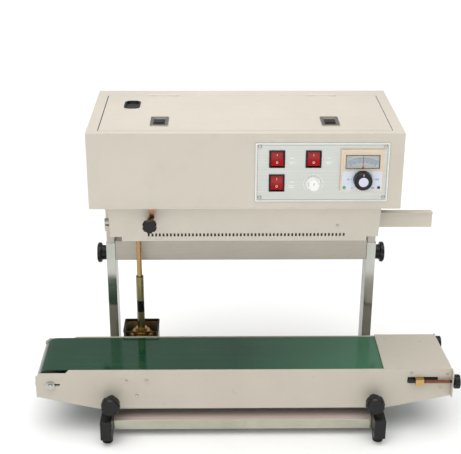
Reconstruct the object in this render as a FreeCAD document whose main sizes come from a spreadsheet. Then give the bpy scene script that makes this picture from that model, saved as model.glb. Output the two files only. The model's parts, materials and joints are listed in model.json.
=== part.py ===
import FreeCAD, Part
import Sketcher
import math
import os

# Continuous band sealer, vertical type: a sealing head on two posts above a
# short belt conveyor.  Millimetres, +Z up, X along the conveyor, -Y is the
# operator's side.  The origin is the bottom centre of the overall box.

V = FreeCAD.Vector
R = FreeCAD.Rotation
doc = FreeCAD.newDocument("BandSealer")
sheet = doc.addObject("Spreadsheet::Sheet", "Dims")
sheet.Label = "Dims"

DIMS = [
    ("origin_dx", -8.0, "machine layout x to row frame"),
    ("origin_dy", -133.0, "machine layout y to row frame"),
    # base
    ("rail_x", 259.5, "rail centre line"), ("rail_wd", 21.5, "rail width"), ("rail_ht", 39.5, "rail height"),
    ("rail_z", 16.0, "rail underside"), ("rail_wall", 1.6, "tube wall"),
    ("rail_front", -28.0, "rail front end"), ("rail_back", 294.0, "rail back end"),
    ("cap_thk", 4.0, "end cap face"), ("foot_rad", 11.5, "rubber foot"), ("foot_ht", 16.0, "rubber foot height"),
    ("bar_ht", 20.5, "crossbar height"), ("bar_dep", 39.0, "crossbar depth"), ("bar_front_y", 5.0, "front crossbar"),
    ("bar_rear_y", 235.0, "rear crossbar"),
    ("post_wd", 18.0, "post width"), ("post_dep", 46.0, "post depth"), ("post_wall", 1.0, "post wall"),
    ("post_out", 270.3, "post outer face"), ("post_y", 215.6, "post front face"), ("post_top", 314.5, "post top"),
    ("beam_z0", 276.6, "beam underside"), ("beam_z1", 318.2, "beam top"), ("beam_thk", 2.5, "beam sheet"),
    ("beam_lip", 24.0, "beam lips"),
    # conveyor
    ("cv_l", -393.0, "side plate left end"), ("cv_r", 398.5, "side plate right end"), ("cv_rr", 391.0, "rear plate right end"), ("cv_rtop", 138.5, "rear plate top"),
    ("cv_top", 142.5, "side plate top"), ("cv_bot", 57.5, "side plate underside"), ("cv_end", 84.5, "underside at ends"),
    ("cv_lend", 135.5, "lowered top at left end"), ("cv_flat", 277.0, "half length of the deep part"),
    ("cv_y0", 14.0, "front plate face"), ("cv_y1", 150.5, "rear plate face"), ("cv_thk", 2.0, "side plate sheet"),
    ("belt_y0", 21.5, "belt front edge"), ("belt_y1", 143.5, "belt rear edge"), ("belt_thk", 2.0, "belt thickness"),
    ("gap", 0.3, "roller to belt"),
    ("idl_x", -365.5, "idler axis"), ("idl_z", 110.0, "idler axis"), ("idl_rad", 27.2, "idler radius"),
    ("tail_x", 335.0, "tail axis"), ("tail_z", 118.5, "tail axis"), ("tail_rad", 18.7, "tail radius"),
    ("drv_x", -202.0, "drive axis"), ("drv_z", 108.3, "drive axis"), ("drv_rad", 26.0, "drive roller radius"),
    ("axle_rad", 5.0, "dead axle"), ("shaft_rad", 8.0, "drive roller shaft"), ("run_clr", 0.06, "running clearance"),
    ("bed_top", 137.3, "slider bed"), ("bed_thk", 1.6, "bed sheet"),
    ("stud_x", 250.5, "clamp stud"), ("stud_z", 80.0, "clamp stud"), ("stud_rad", 3.0, "M6 stud"),
    ("scr_y", 8.0, "take-up screw in front of plate"), ("scr_rad", 3.0, "M6 take-up screw"),
    # drive column
    ("col_y", 176.0, "drive column"), ("rod_rad", 5.0, "telescopic rod"), ("slv_rad", 7.5, "telescopic sleeve"),
    ("slv_top", 261.0, "sleeve top"), ("rod_tip", 226.0, "rod lower end"),
    # head
    ("hd_w", 273.0, "half width of head"), ("hd_d", 261.0, "depth of head"), ("hd_top", 616.0, "head top"),
    ("hd_bot", 477.3, "head underside"), ("base_thk", 3.0, "head base plate"), ("wall", 1.5, "head sheet"),
    ("lid_hw", 252.5, "lid half width"), ("lid_y0", 17.0, "lid front"), ("lid_y1", 226.0, "lid back"),
    ("lid_gap", 0.6, "gap round lid"),
    ("gd_hw", 240.7, "guard half width"), ("gd_y0", 8.8, "guard top"), ("gd_y1", 24.5, "guard bottom"),
    ("gd_z1", 413.5, "guard lower edge"), ("gd_low", 404.0, "guard comb"),
    ("slot_wd", 3.4, "vent slot"), ("slot_pitch", 6.6, "vent slot pitch"),
    ("bag_y", 83.0, "bag plane"), ("whl_rad", 25.2, "band wheel"), ("band_thk", 0.9, "sealing band"),
    ("whl_z0", 404.5, "wheel underside"), ("whl_z1", 424.5, "wheel top"), ("whl_off", 27.0, "wheel axis to bag plane"),
    ("drvw_x", -202.0, "drive wheels"), ("idlw_x", 170.0, "idler wheels"), ("whl_shaft", 6.0, "wheel shaft"),
    ("emb_x", -158.0, "embossing rollers"), ("emb_rad", 13.0, "embossing roller"),
    # panel
    ("pn_x0", 17.0, "panel left"), ("pn_x1", 247.8, "panel right"), ("pn_z0", 492.0, "panel bottom"), ("pn_z1", 599.5, "panel top"),
    ("rk_hw", 13.7, "rocker bezel half width"), ("rk_hh", 15.5, "rocker bezel half height"),
    ("rk1_x", 54.3, "rocker"), ("rk2_x", 117.0, "rocker"), ("rk_z", 570.5, "rocker row"), ("rk3_z", 526.8, "rocker lower row"),
    ("spd_x", 117.8, "speed knob"), ("spd_z", 525.6, "speed knob"), ("spd_rad", 10.3, "speed knob"),
    ("tc_x", 201.4, "controller"), ("tc_z", 549.8, "controller"), ("tc_hw", 37.4, "controller half width"),
    ("tck_z", 535.0, "controller knob"), ("tck_rad", 16.4, "controller knob"),
    ("pk_x", -167.0, "pressure knob"), ("pk_z", 450.7, "pressure knob"),
    ("lock_z", 284.0, "post lock knob"), ("lock_y", 238.6, "post lock knob"),
    ("lat_x", 149.5, "lid latch"), ("lat_y", 65.0, "lid latch"),
    ("gd_in_y", 76.0, "infeed guide front wall"), ("gd_in_w", 14.0, "infeed guide width"),
    ("gd_in_z0", 409.0, "infeed guide underside"), ("gd_in_z1", 438.0, "infeed guide top"),
]
for i, (al, val, note) in enumerate(DIMS, start=1):
    sheet.set("A%d" % i, al)
    sheet.set("B%d" % i, "%s" % val)
    sheet.setAlias("B%d" % i, al)
    sheet.set("C%d" % i, note)
doc.recompute()


class Q:
    """A length with its value and the expression that drives it."""

    def __init__(self, v, e=None):
        self.v = float(v)
        self.e = e if e is not None else ("%.6g" % v if v >= 0 else "(%.6g)" % v)

    def __add__(a, b):
        b = q(b)
        return Q(a.v + b.v, "(%s + %s)" % (a.e, b.e))

    def __sub__(a, b):
        b = q(b)
        return Q(a.v - b.v, "(%s - %s)" % (a.e, b.e))

    def __mul__(a, b):
        b = q(b)
        return Q(a.v * b.v, "(%s * %s)" % (a.e, b.e))

    def __truediv__(a, b):
        b = q(b)
        return Q(a.v / b.v, "(%s / %s)" % (a.e, b.e))

    def __neg__(a):
        return Q(-a.v, "(0 - %s)" % a.e)

    def __radd__(a, b):
        return q(b) + a

    def __rsub__(a, b):
        return q(b) - a

    def __rmul__(a, b):
        return q(b) * a


def q(x):
    return x if isinstance(x, Q) else Q(x)


class D:
    pass


d = D()
for al, val, note in DIMS:
    setattr(d, al, Q(val, "Dims." + al))

count = [0]


def uid(base):
    count[0] += 1
    return "%s_%03d" % (base, count[0])


def bind(o, prop, x):
    x = q(x)
    o.setExpression(prop, x.e)


def place(o, x, y, z, rot=None):
    x, y, z = q(x) + d.origin_dx, q(y) + d.origin_dy, q(z)
    o.Placement = FreeCAD.Placement(V(x.v, y.v, z.v), rot or R())
    bind(o, "Placement.Base.x", x)
    bind(o, "Placement.Base.y", y)
    bind(o, "Placement.Base.z", z)


def box(x0, x1, y0, y1, z0, z1, name="box"):
    o = doc.addObject("Part::Box", uid(name))
    x0, x1, y0, y1, z0, z1 = [q(t) for t in (x0, x1, y0, y1, z0, z1)]
    for p, a in (("Length", x1 - x0), ("Width", y1 - y0), ("Height", z1 - z0)):
        setattr(o, p, a.v)
        bind(o, p, a)
    place(o, x0, y0, z0)
    return o


ROT = {"z": R(), "y": R(V(1, 0, 0), -90), "x": R(V(0, 1, 0), 90)}


def cyl(axis, x, y, z, r, length, name="cyl", r2=None):
    """Cylinder (or cone) that starts at x, y, z and runs along +axis."""
    if r2 is None:
        o = doc.addObject("Part::Cylinder", uid(name))
        o.Radius = q(r).v
        bind(o, "Radius", r)
    else:
        o = doc.addObject("Part::Cone", uid(name))
        o.Radius1, o.Radius2 = q(r).v, q(r2).v
        bind(o, "Radius1", r)
        bind(o, "Radius2", r2)
    o.Height = q(length).v
    bind(o, "Height", length)
    place(o, x, y, z, ROT[axis])
    return o


def fuse(*items):
    if len(items) == 1:
        return items[0]
    o = doc.addObject("Part::MultiFuse", uid("fuse"))
    o.Shapes = list(items)
    return o


def cut(base, *tools):
    o = doc.addObject("Part::Cut", uid("cut"))
    o.Base = base
    o.Tool = fuse(*tools)
    return o


def group(*items):
    o = doc.addObject("Part::Compound", uid("grp"))
    o.Links = list(items)
    return o


NODES = []


def node(name, o):
    o.Label = name
    NODES.append((name, o))
    return o


def role(b, r):
    return [f for f in b.Origin.OriginFeatures if f.Role == r][0]


class Body:
    """A PartDesign body with sketches held to its own origin planes."""

    def __init__(self, name):
        self.b = doc.addObject("PartDesign::Body", "body_" + name)
        place(self.b, 0, 0, 0)
        self.name = name

    def sketch(self, plane, loops, off=0):
        s = self.b.newObject("Sketcher::SketchObject", uid("sk"))
        s.AttachmentSupport = [(role(self.b, plane + "_Plane"), "")]
        s.MapMode = "FlatFace"
        off = q(off)
        s.AttachmentOffset = FreeCAD.Placement(V(0, 0, off.v), R())
        s.setExpression("AttachmentOffset.Base.z", off.e)
        g = 0
        for lp in loops:
            if lp[0] == "c":
                cx, cy, r = q(lp[1]), q(lp[2]), q(lp[3])
                s.addGeometry(Part.Circle(V(cx.v, cy.v, 0), V(0, 0, 1), r.v), False)
                for kind, a in (("DistanceX", cx), ("DistanceY", cy)):
                    ci = s.addConstraint(Sketcher.Constraint(kind, -1, 1, g, 3, a.v))
                    s.setExpression("Constraints[%d]" % ci, a.e)
                ci = s.addConstraint(Sketcher.Constraint("Radius", g, r.v))
                s.setExpression("Constraints[%d]" % ci, r.e)
                g += 1
                continue
            pts = [(q(a), q(c)) for a, c in lp]
            n = len(pts)
            for i in range(n):
                a, c = pts[i], pts[(i + 1) % n]
                s.addGeometry(Part.LineSegment(V(a[0].v, a[1].v, 0), V(c[0].v, c[1].v, 0)), False)
            for i in range(n):
                s.addConstraint(Sketcher.Constraint("Coincident", g + i, 2, g + (i + 1) % n, 1))
            for i, (a, c) in enumerate(pts):
                ci = s.addConstraint(Sketcher.Constraint("DistanceX", -1, 1, g + i, 1, a.v))
                s.setExpression("Constraints[%d]" % ci, a.e)
                ci = s.addConstraint(Sketcher.Constraint("DistanceY", -1, 1, g + i, 1, c.v))
                s.setExpression("Constraints[%d]" % ci, c.e)
            g += n
        return s

    def pad(self, s, length, sym=False):
        p = self.b.newObject("PartDesign::Pad", uid("pad"))
        p.Profile = s
        length = q(length)
        if sym:
            p.SideType = "Symmetric"
        p.Length = length.v
        bind(p, "Length", length)
        self.b.Tip = p
        return p

    def pocket(self, s, length, sym=True, rev=False):
        doc.recompute()
        before = self.b.Shape.Volume
        p = self.b.newObject("PartDesign::Pocket", uid("pocket"))
        p.Profile = s
        if sym:
            p.SideType = "Symmetric"
        p.Reversed = rev
        length = q(length)
        p.Length = length.v
        bind(p, "Length", length)
        self.b.Tip = p
        doc.recompute()
        if not self.b.Shape.Volume < before - 0.01:
            raise RuntimeError("pocket cuts nothing in " + self.name)
        return p

    def revolve(self, s, axis="V_Axis"):
        p = self.b.newObject("PartDesign::Revolution", uid("rev"))
        p.Profile = s
        p.ReferenceAxis = (s, [axis])
        p.Angle = 360
        self.b.Tip = p
        return p

    def polar(self, feat, s, n):
        p = self.b.newObject("PartDesign::PolarPattern", uid("polar"))
        p.Originals = [feat]
        p.Axis = (s, ["N_Axis"])
        p.Angle = 360
        p.Occurrences = n
        self.b.Tip = p
        return p

    def linear(self, feat, s, length, n, axis="H_Axis"):
        p = self.b.newObject("PartDesign::LinearPattern", uid("lin"))
        p.Originals = [feat]
        p.Direction = (s, [axis])
        p.Length = q(length).v
        bind(p, "Length", length)
        p.Occurrences = n
        self.b.Tip = p
        return p


def rect(x0, x1, y0, y1):
    return [(x0, y0), (x1, y0), (x1, y1), (x0, y1)]


def feature(name, shape):
    o = doc.addObject("Part::Feature", "feat_" + name)
    o.Shape = shape
    o.Placement = FreeCAD.Placement(V(d.origin_dx.v, d.origin_dy.v, 0), R()).multiply(shape.Placement)
    return node(name, o)


# ---------------------------------------------------------------- base frame
def rail(sx):
    xc = d.rail_x * sx
    o = box(xc - d.rail_wd / 2, xc + d.rail_wd / 2, d.rail_front, d.rail_back, d.rail_z, d.rail_z + d.rail_ht, "rail")
    i = box(xc - d.rail_wd / 2 + d.rail_wall, xc + d.rail_wd / 2 - d.rail_wall, d.rail_front - 1, d.rail_back + 1,
            d.rail_z + d.rail_wall, d.rail_z + d.rail_ht - d.rail_wall, "railin")
    return cut(o, i)


rails = [rail(-1), rail(1)]

caps = []
for sx in (-1, 1):
    xc = d.rail_x * sx
    for y0, y1, p0, p1 in ((d.rail_front - d.cap_thk, d.rail_front, d.rail_front, d.rail_front + 10),
                           (d.rail_back, d.rail_back + d.cap_thk, d.rail_back - 10, d.rail_back)):
        face = box(xc - d.rail_wd / 2, xc + d.rail_wd / 2, y0, y1, d.rail_z, d.rail_z + d.rail_ht, "cap")
        w = d.rail_wd / 2 - d.rail_wall - 0.2
        plug = box(xc - w, xc + w, p0, p1, d.rail_z + d.rail_wall + 0.2, d.rail_z + d.rail_ht - d.rail_wall - 0.2, "plug")
        caps.append(fuse(face, plug))
node("rail_end_caps", group(*caps))

feet = []
for sx in (-1, 1):
    for fy in (-9, 275):
        c = cyl("z", d.rail_x * sx, fy, 0, d.foot_rad - 1.5, d.foot_ht, "foot", r2=d.foot_rad)
        feet.append(cut(c, cyl("z", d.rail_x * sx, fy, -1, 4.5, 8, "recess")))
node("rubber_feet", group(*feet))

bars = []
hw = d.rail_x - d.rail_wd / 2
for by in (d.bar_front_y, d.bar_rear_y):
    o = box(-hw, hw, by, by + d.bar_dep, d.rail_z, d.rail_z + d.bar_ht, "bar")
    i = box(-hw - 1, hw + 1, by + d.rail_wall, by + d.bar_dep - d.rail_wall, d.rail_z + d.rail_wall,
            d.rail_z + d.bar_ht - d.rail_wall, "barin")
    bars.append(cut(o, i))
node("base_frame", group(*(rails + bars)))

rail_top = d.rail_z + d.rail_ht
for nm, sx in (("left", -1), ("right", 1)):
    b = Body("post_" + nm)
    a, c = d.post_out * sx, (d.post_out - d.post_wd) * sx
    if sx < 0:
        x0, x1 = a, c
    else:
        x0, x1 = c, a
    w = d.post_wall
    s = b.sketch("XY", [rect(x0, x1, d.post_y, d.post_y + d.post_dep),
                        rect(x0 + w, x1 - w, d.post_y + w, d.post_y + d.post_dep - w)], rail_top)
    b.pad(s, d.post_top - rail_top)
    s2 = b.sketch("YZ", [("c", d.lock_y, d.lock_z, 4.2)], (d.post_out + 1) * sx)
    b.pocket(s2, 4, sym=False, rev=(sx < 0))
    node("post_" + nm, b.b)

b = Body("cross_beam")
by = d.post_y + 1.4
t = d.beam_thk
s = b.sketch("YZ", [[(by, d.beam_z0), (by + d.beam_lip, d.beam_z0), (by + d.beam_lip, d.beam_z0 + t), (by + t, d.beam_z0 + t),
                     (by + t, d.beam_z1 - t), (by + d.beam_lip, d.beam_z1 - t), (by + d.beam_lip, d.beam_z1), (by, d.beam_z1)]])
b.pad(s, (d.post_out - d.post_wd) * 2, sym=True)
node("cross_beam", b.b)

brs = []
for sx in (-1, 1):
    for y0, y1, f0, f1 in ((16.3, 19.3, 19.3, 48.0), (150.8, 153.8, 153.8, 182.0)):
        x0, x1 = d.stud_x * sx - 11, d.stud_x * sx + 11
        leg = box(x0, x1, y0, y1, rail_top, rail_top + 49, "leg")
        foot = box(x0, x1, f0, f1, rail_top, rail_top + 3, "shoe")
        sl = box(d.stud_x * sx - 3.3, d.stud_x * sx + 3.3, y0 - 1, y1 + 1, d.stud_z, d.stud_z + 16, "slot")
        r0 = cyl("y", d.stud_x * sx, y0 - 1, d.stud_z, 3.3, 5, "slot0")
        r1 = cyl("y", d.stud_x * sx, y0 - 1, d.stud_z + 16, 3.3, 5, "slot1")
        brs.append(cut(fuse(leg, foot), sl, r0, r1))
node("conveyor_brackets", group(*brs))


# ------------------------------------------------------------------ conveyor
def side_plate(name, face, front):
    b = Body(name)
    xr, zt = (d.cv_r, d.cv_top) if front else (d.cv_rr, d.cv_rtop)
    out = [(d.cv_l, d.cv_end), (-d.cv_flat, d.cv_bot), (d.cv_flat, d.cv_bot), (xr, d.cv_end), (xr, zt),
           (-330, zt), (-336, d.cv_lend), (-384, d.cv_lend), (d.cv_l, d.cv_lend - 6.5)]
    # sketches on the XZ plane face -Y, so an offset of -y puts them at y
    s = b.sketch("XZ", [out], -(face + d.cv_thk))
    b.pad(s, d.cv_thk)
    holes = [("c", d.idl_x, d.idl_z, d.axle_rad + 0.1), rect(-358.5, -347.5, 108.6, 113.0),
             ("c", -d.stud_x, d.stud_z, 3.4), ("c", d.stud_x, d.stud_z, 3.4), rect(313, 371, 112, 125)]
    for k in range(3):
        a = math.radians(30 + 120 * k)
        holes.append(("c", d.drv_x + 21.7 * math.cos(a), d.drv_z + 21.7 * math.sin(a), 2.2))
    if not front:
        holes.append(("c", d.drv_x, d.drv_z, 9.5))
    s = b.sketch("XZ", holes, -(face + d.cv_thk / 2))
    b.pocket(s, 6)
    if front:
        prof = [(face - 13, 88), (face + 1, 86), (face + 1, 141), (face - 8, 141), (face - 13, 136)]
    else:
        f1 = face + d.cv_thk
        prof = [(f1 - 1, 86), (f1 + 13, 88), (f1 + 13, 134), (f1 + 8, 138.5), (f1 - 1, 138.5)]
    s = b.sketch("YZ", [prof], xr - d.cv_thk)
    b.pad(s, d.cv_thk)
    yy = d.scr_y if front else face + d.cv_thk + 6
    s = b.sketch("YZ", [("c", yy, d.tail_z, 3.4)], xr)
    b.pocket(s, 8)
    return node(name, b.b)


side_plate("conveyor_front_plate", d.cv_y0, True)
side_plate("conveyor_rear_plate", d.cv_y1 - d.cv_thk, False)
in0, in1 = d.cv_y0 + d.cv_thk + 0.2, d.cv_y1 - d.cv_thk - 0.2

b = Body("conveyor_bed")
t = d.bed_thk
s = b.sketch("YZ", [[(in0, 121), (in0 + t, 121), (in0 + t, d.bed_top - t), (in1 - t, d.bed_top - t), (in1 - t, 121), (in1, 121),
                     (in1, d.bed_top), (in0, d.bed_top)]], -332)
b.pad(s, 629)
node("conveyor_bed", b.b)

b = Body("conveyor_end_cover")
s = b.sketch("XY", [[(267, in0), (396.2, in0), (396.2, in0 + 20), (389, in1 - 8), (384, in1), (267, in1)]], 140.9)
b.pad(s, 1.5)
s = b.sketch("YZ", [rect(in0, in1, 92, 141.5)], 378.4)
b.pad(s, 1.6)
s = b.sketch("YZ", [rect(in1 - 1.5, in1, 126, 141.5)], 299)
b.pad(s, 80)
node("conveyor_end_cover", b.b)


def loop_wire(circles):
    """Wire round circles given clockwise from the left; tangents stay outside."""
    n = len(circles)
    tan = []
    for i in range(n):
        x0, z0, r0 = circles[i]
        x1, z1, r1 = circles[(i + 1) % n]
        L = math.hypot(x1 - x0, z1 - z0)
        a = math.atan2(z1 - z0, x1 - x0) + math.acos((r0 - r1) / L)
        tan.append(((x0 + r0 * math.cos(a), z0 + r0 * math.sin(a)), (x1 + r1 * math.cos(a), z1 + r1 * math.sin(a)), a))
    edges = []
    for i in range(n):
        p, e, a = tan[i]
        edges.append(((p, e), None))
        nx = tan[(i + 1) % n]
        x1, z1, r1 = circles[(i + 1) % n]
        a0, a1 = a, nx[2]
        while a1 > a0:
            a1 -= 2 * math.pi
        am = (a0 + a1) / 2
        edges.append(((e, nx[0]), (x1 + r1 * math.cos(am), z1 + r1 * math.sin(am))))
    return edges


def loop_solid(circles, thk, lo, hi, plane):
    def wire(cs):
        es = []
        for (p, e), m in loop_wire(cs):
            f = (lambda a: V(a[0], lo, a[1])) if plane == "xz" else (lambda a: V(a[0], a[1], lo))
            if m is None:
                es.append(Part.LineSegment(f(p), f(e)).toShape())
            else:
                es.append(Part.Arc(f(p), f(m), f(e)).toShape())
        return Part.Wire(es)
    vec = V(0, hi - lo, 0) if plane == "xz" else V(0, 0, hi - lo)
    outer = Part.Face(wire([(a, c, r + thk) for a, c, r in circles])).extrude(vec)
    inner = Part.Face(wire(circles)).extrude(vec)
    return outer.cut(inner)


g = d.gap.v
feature("conveyor_belt", loop_solid([(d.idl_x.v, d.idl_z.v, d.idl_rad.v + g), (d.tail_x.v, d.tail_z.v, d.tail_rad.v + g),
                                     (d.drv_x.v, d.drv_z.v, d.drv_rad.v + g)], d.belt_thk.v, d.belt_y0.v, d.belt_y1.v, "xz"))

rods = [cyl("y", x, in0, 109, 6, in1 - in0, "tie") for x in (-300, -80, 170)]
rods.append(cyl("y", d.idl_x, 10, d.idl_z, d.axle_rad, 144.5, "axle"))
rods.append(cyl("y", d.tail_x, 12.2, d.tail_z, d.axle_rad, 140.1, "axle"))
hard = list(rods)
for y0, y1, h0, h1 in ((17.8, 20.8, 11.6, 14.0), (144.3, 146.7, 150.5, 152.4)):
    disc = cyl("y", d.drv_x, y0, d.drv_z, 27, y1 - y0, "flange")
    tools = [cyl("y", d.drv_x, y0 - 1, d.drv_z, d.shaft_rad + d.run_clr, 9, "bore")]
    hard.append(cut(disc, *tools))
    for k in range(3 if y0 < 100 else 0):
        a = math.radians(30 + 120 * k)
        hard.append(cyl("y", d.drv_x + 21.7 * math.cos(a), h0, d.drv_z + 21.7 * math.sin(a), 2.6, h1 - h0, "screw"))
for y0 in (10.6, 150.6):
    ring = cyl("y", d.idl_x, y0, d.idl_z, 8.6, 3.2, "nut")
    hard.append(cut(ring, cyl("y", d.idl_x, y0 - 1, d.idl_z, d.axle_rad, 6, "bore")))
for sx in (-1, 1):
    hard.append(fuse(cyl("y", d.stud_x * sx, 147.0, d.stud_z, d.stud_rad, 9, "bolt"),
                     cyl("y", d.stud_x * sx, 154.2, d.stud_z, 7, 5, "bolthead")))
node("conveyor_hardware", group(*hard))

blocks = []
for y0, y1, ys in ((3.0, 20.6, d.scr_y), (143.9, 161.5, d.cv_y1 + 6)):
    bl = box(d.tail_x - 8, d.tail_x + 8, y0, y1, 112.3, 124.7, "block")
    blocks.append(cut(bl, cyl("y", d.tail_x, (12.0 if y0 < 10 else 143), d.tail_z, d.axle_rad, (10 if y0 < 10 else 9.5), "bore"),
                      cyl("x", d.tail_x - 9, ys, d.tail_z, d.scr_rad + d.run_clr, 18, "thread")))
node("tension_blocks", group(*blocks))

gx0, gx1, gy0, gy1 = -236, -167.5, d.cv_y1 + 0.2, 205
gz0 = 78
walls = [box(gx0, gx0 + 1.6, gy0, gy1, gz0, 148, "wall"), box(gx1 - 1.6, gx1, gy0, gy1, gz0, 148, "wall"),
         box(gx0, gx1, gy1 - 1.6, gy1, gz0, 148, "wall"), box(gx0, gx1, gy0, gy1, gz0, gz0 + 1.6, "wall")]
node("gear_guard", fuse(*walls))


# rollers turned about Y: sketched on the XY plane and revolved about a line through the axis
def turned(name, axis, x, y, z, prof, steps=None, n_cut=0, cut_r=0, cut_at=0, z_cut=None):
    """prof is (radius, distance) pairs; the piece is turned about +Z, then laid along axis."""
    b = Body(name)
    s = b.sketch("XZ", [prof])
    b.revolve(s)
    if n_cut:
        s2 = b.sketch("XY", [("c", cut_at, 0, cut_r)], z_cut if z_cut is not None else 0)
        p = b.pocket(s2, steps)
        b.polar(p, s2, n_cut)
    b.b.Placement = FreeCAD.Placement(V(0, 0, 0), ROT[axis])
    place(b.b, x, y, z, ROT[axis])
    return node(name, b.b)


turned("idler_roller", "y", d.idl_x, 22, d.idl_z, [(d.axle_rad + d.run_clr, 0), (d.idl_rad, 0), (d.idl_rad, 121), (d.axle_rad + d.run_clr, 121)])
turned("tail_roller", "y", d.tail_x, 22, d.tail_z, [(d.axle_rad + d.run_clr, 0), (d.tail_rad, 0), (d.tail_rad, 121), (d.axle_rad + d.run_clr, 121)])
turned("drive_roller", "y", d.drv_x, 12.5, d.drv_z,
       [(0, 4.4), (d.shaft_rad, 4.4), (d.shaft_rad, 9.7), (d.drv_rad, 9.7), (d.drv_rad, 130), (d.shaft_rad, 130), (d.shaft_rad, 147), (0, 147)])


def bevel(teeth, mod, other, face, hub_r, hub_l, bore):
    """Straight bevel gear about +Z: pitch circle at z = 0, teeth narrow towards +Z, hub towards -Z."""
    rp = teeth * mod / 2
    ro = other * mod / 2            # distance from pitch plane to the apex
    k1 = 1 - face / math.hypot(rp, ro)

    def ring(k):
        pts = []
        for i in range(teeth):
            for da, dr in ((-0.27, -1.15), (-0.125, 0.82), (0.125, 0.82), (0.27, -1.15)):
                a = 2 * math.pi * (i + da) / teeth
                rr = (rp + dr * mod * ro / math.hypot(rp, ro)) * k
                zz = ro - (ro + dr * mod * -rp / math.hypot(rp, ro)) * k
                pts.append(V(rr * math.cos(a), rr * math.sin(a), zz))
        return pts
    a, c = ring(1), ring(k1)
    n = len(a)
    faces = []

    def tri(p0, p1, p2):
        return Part.Face(Part.makePolygon([p0, p1, p2, p0]))
    za = V(0, 0, sum(p.z for p in a) / n)
    zc = V(0, 0, sum(p.z for p in c) / n)
    for i in range(n):
        j = (i + 1) % n
        faces += [tri(a[i], a[j], c[i]), tri(a[j], c[j], c[i]), tri(za, a[j], a[i]), tri(zc, c[i], c[j])]
    sol = Part.Solid(Part.makeShell(faces))
    if sol.Volume < 0:
        sol.reverse()
    hub = Part.makeCylinder(hub_r, hub_l + 2.0, V(0, 0, -hub_l))
    sol = sol.fuse(hub)
    if bore:
        sol = sol.cut(Part.makeCylinder(bore, 200, V(0, 0, -100)))
    return sol.removeSplitter()


def laid(shape, x, y, z, rot):
    s = shape.copy()
    s.Placement = FreeCAD.Placement(V(x, y, z), rot).multiply(shape.Placement)
    return s


BM = 1.8
sg = bevel(26, BM, 26, 9.0, 17.0, 8.0, 0).fuse(Part.makeCylinder(11.5, 14.0, V(0, 0, -14.0)))
sg.rotate(V(0, 0, 0), V(0, 0, 1), 360.0 / 26 / 2)
# the upright gear points its teeth down, towards the roller's axis
zs = d.drv_z.v + 26 * BM / 2
up = laid(sg, d.drv_x.v, d.col_y.v, zs, R(V(1, 0, 0), 180))
bore = Part.makeCylinder(d.rod_rad.v + 0.06, 200, V(d.drv_x.v, d.col_y.v, 141))
feature("shaft_bevel_gear", up.cut(bore))
rg = bevel(26, BM, 26, 9.0, 9.8, 1.6, d.shaft_rad.v)
yr = d.col_y.v - 26 * BM / 2
feature("roller_bevel_gear", laid(rg, d.drv_x.v, yr, d.drv_z.v, R(V(1, 0, 0), -90)))

hub_top = zs + 14.0
b = Body("shaft_sleeve")
br = d.rod_rad + d.run_clr
s = b.sketch("XZ", [[(br, hub_top), (d.slv_rad, hub_top), (d.slv_rad, 183), (6.4, 183), (6.4, 208.5), (d.slv_rad, 208.5),
                     (d.slv_rad, d.slv_top), (br, d.slv_top)]])
b.revolve(s)
s = b.sketch("XY", [rect(-0.9, 0.9, 3.6, 6.2)], hub_top)
b.pad(s, d.slv_top - hub_top)
place(b.b, d.drv_x, d.col_y, 0)
node("shaft_sleeve", b.b)


def knob_teeth(name, axis, x, y, z, prof, n, r_cut, at, depth, rot=None):
    return turned(name, axis, x, y, z, prof, steps=depth, n_cut=n, cut_r=r_cut, cut_at=at, z_cut=0)


for nm, ys in (("front", d.scr_y), ("rear", d.cv_y1 + 6)):
    knob_teeth("tension_knob_" + nm, "x", 411 if nm == "front" else 403.5, ys, d.tail_z,
               [(0, -97), (d.scr_rad, -97), (d.scr_rad, -12.2), (7, -12.2), (7, -10), (13.5, -10), (13.5, -1), (12.5, 0), (0, 0)],
               16, 1.3, 13.7, 40)
for nm, sx in (("left", -1), ("right", 1)):
    b = Body("clamp_knob_" + nm)
    s = b.sketch("XZ", [[(0, 42.5), (d.stud_rad, 42.5), (d.stud_rad, 35.8), (8, 35.8), (9.5, 20), (16.5, 20), (18, 17), (18, 4), (15.5, 0), (0, 0)]])
    b.revolve(s)
    s2 = b.sketch("XY", [("c", 19.6, 0, 4.0)], 9)
    p = b.pocket(s2, 30)
    b.polar(p, s2, 6)
    place(b.b, d.stud_x * sx, -22, d.stud_z, ROT["y"])
    node("clamp_knob_" + nm, b.b)

# ---------------------------------------------------------------------- head
hz0 = d.hd_bot + d.base_thk
shell = box(-d.hd_w, d.hd_w, 0, d.hd_d, hz0, d.hd_top, "shell")
void = box(-d.hd_w + d.wall, d.hd_w - d.wall, d.wall, d.hd_d - d.wall, hz0 - 1, d.hd_top - d.wall, "void")
lidh = box(-d.lid_hw - d.lid_gap, d.lid_hw + d.lid_gap, d.lid_y0 - d.lid_gap, d.lid_y1 + d.lid_gap, d.hd_top - 5, d.hd_top + 1, "lidhole")
HX = [-150, 150]
hy, hz = d.lid_y1 + 0.3, d.hd_top
tools = [void, lidh]
tools += [box(x - 28.5, x + 28.5, d.lid_y1, d.lid_y1 + 3.8, hz - 5, hz + 1, "notch") for x in HX]
ROCK = [("power_switch", d.rk1_x, d.rk_z), ("heater_switch", d.rk2_x, d.rk_z), ("fan_switch", d.rk1_x, d.rk3_z)]
for nm, rx, rz in ROCK:
    tools.append(box(rx - 12.8, rx + 12.8, -1, 3, rz - 14.6, rz + 14.6, "cutout"))
tools.append(box(d.tc_x - 35, d.tc_x + 35, -1, 3, d.tc_z - 35, d.tc_z + 35, "cutout"))
tools.append(cyl("y", d.spd_x, -1, d.spd_z, 4.2, 4, "cutout"))
tools.append(cyl("y", -190, d.hd_d - 3, 505, 8.1, 6, "cutout"))
for k in range(9):
    tools.append(box(60 + 14 * k, 65 + 14 * k, d.hd_d - 3, d.hd_d + 2, 520, 580, "vent"))
node("head_shell", cut(shell, *tools))

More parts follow.
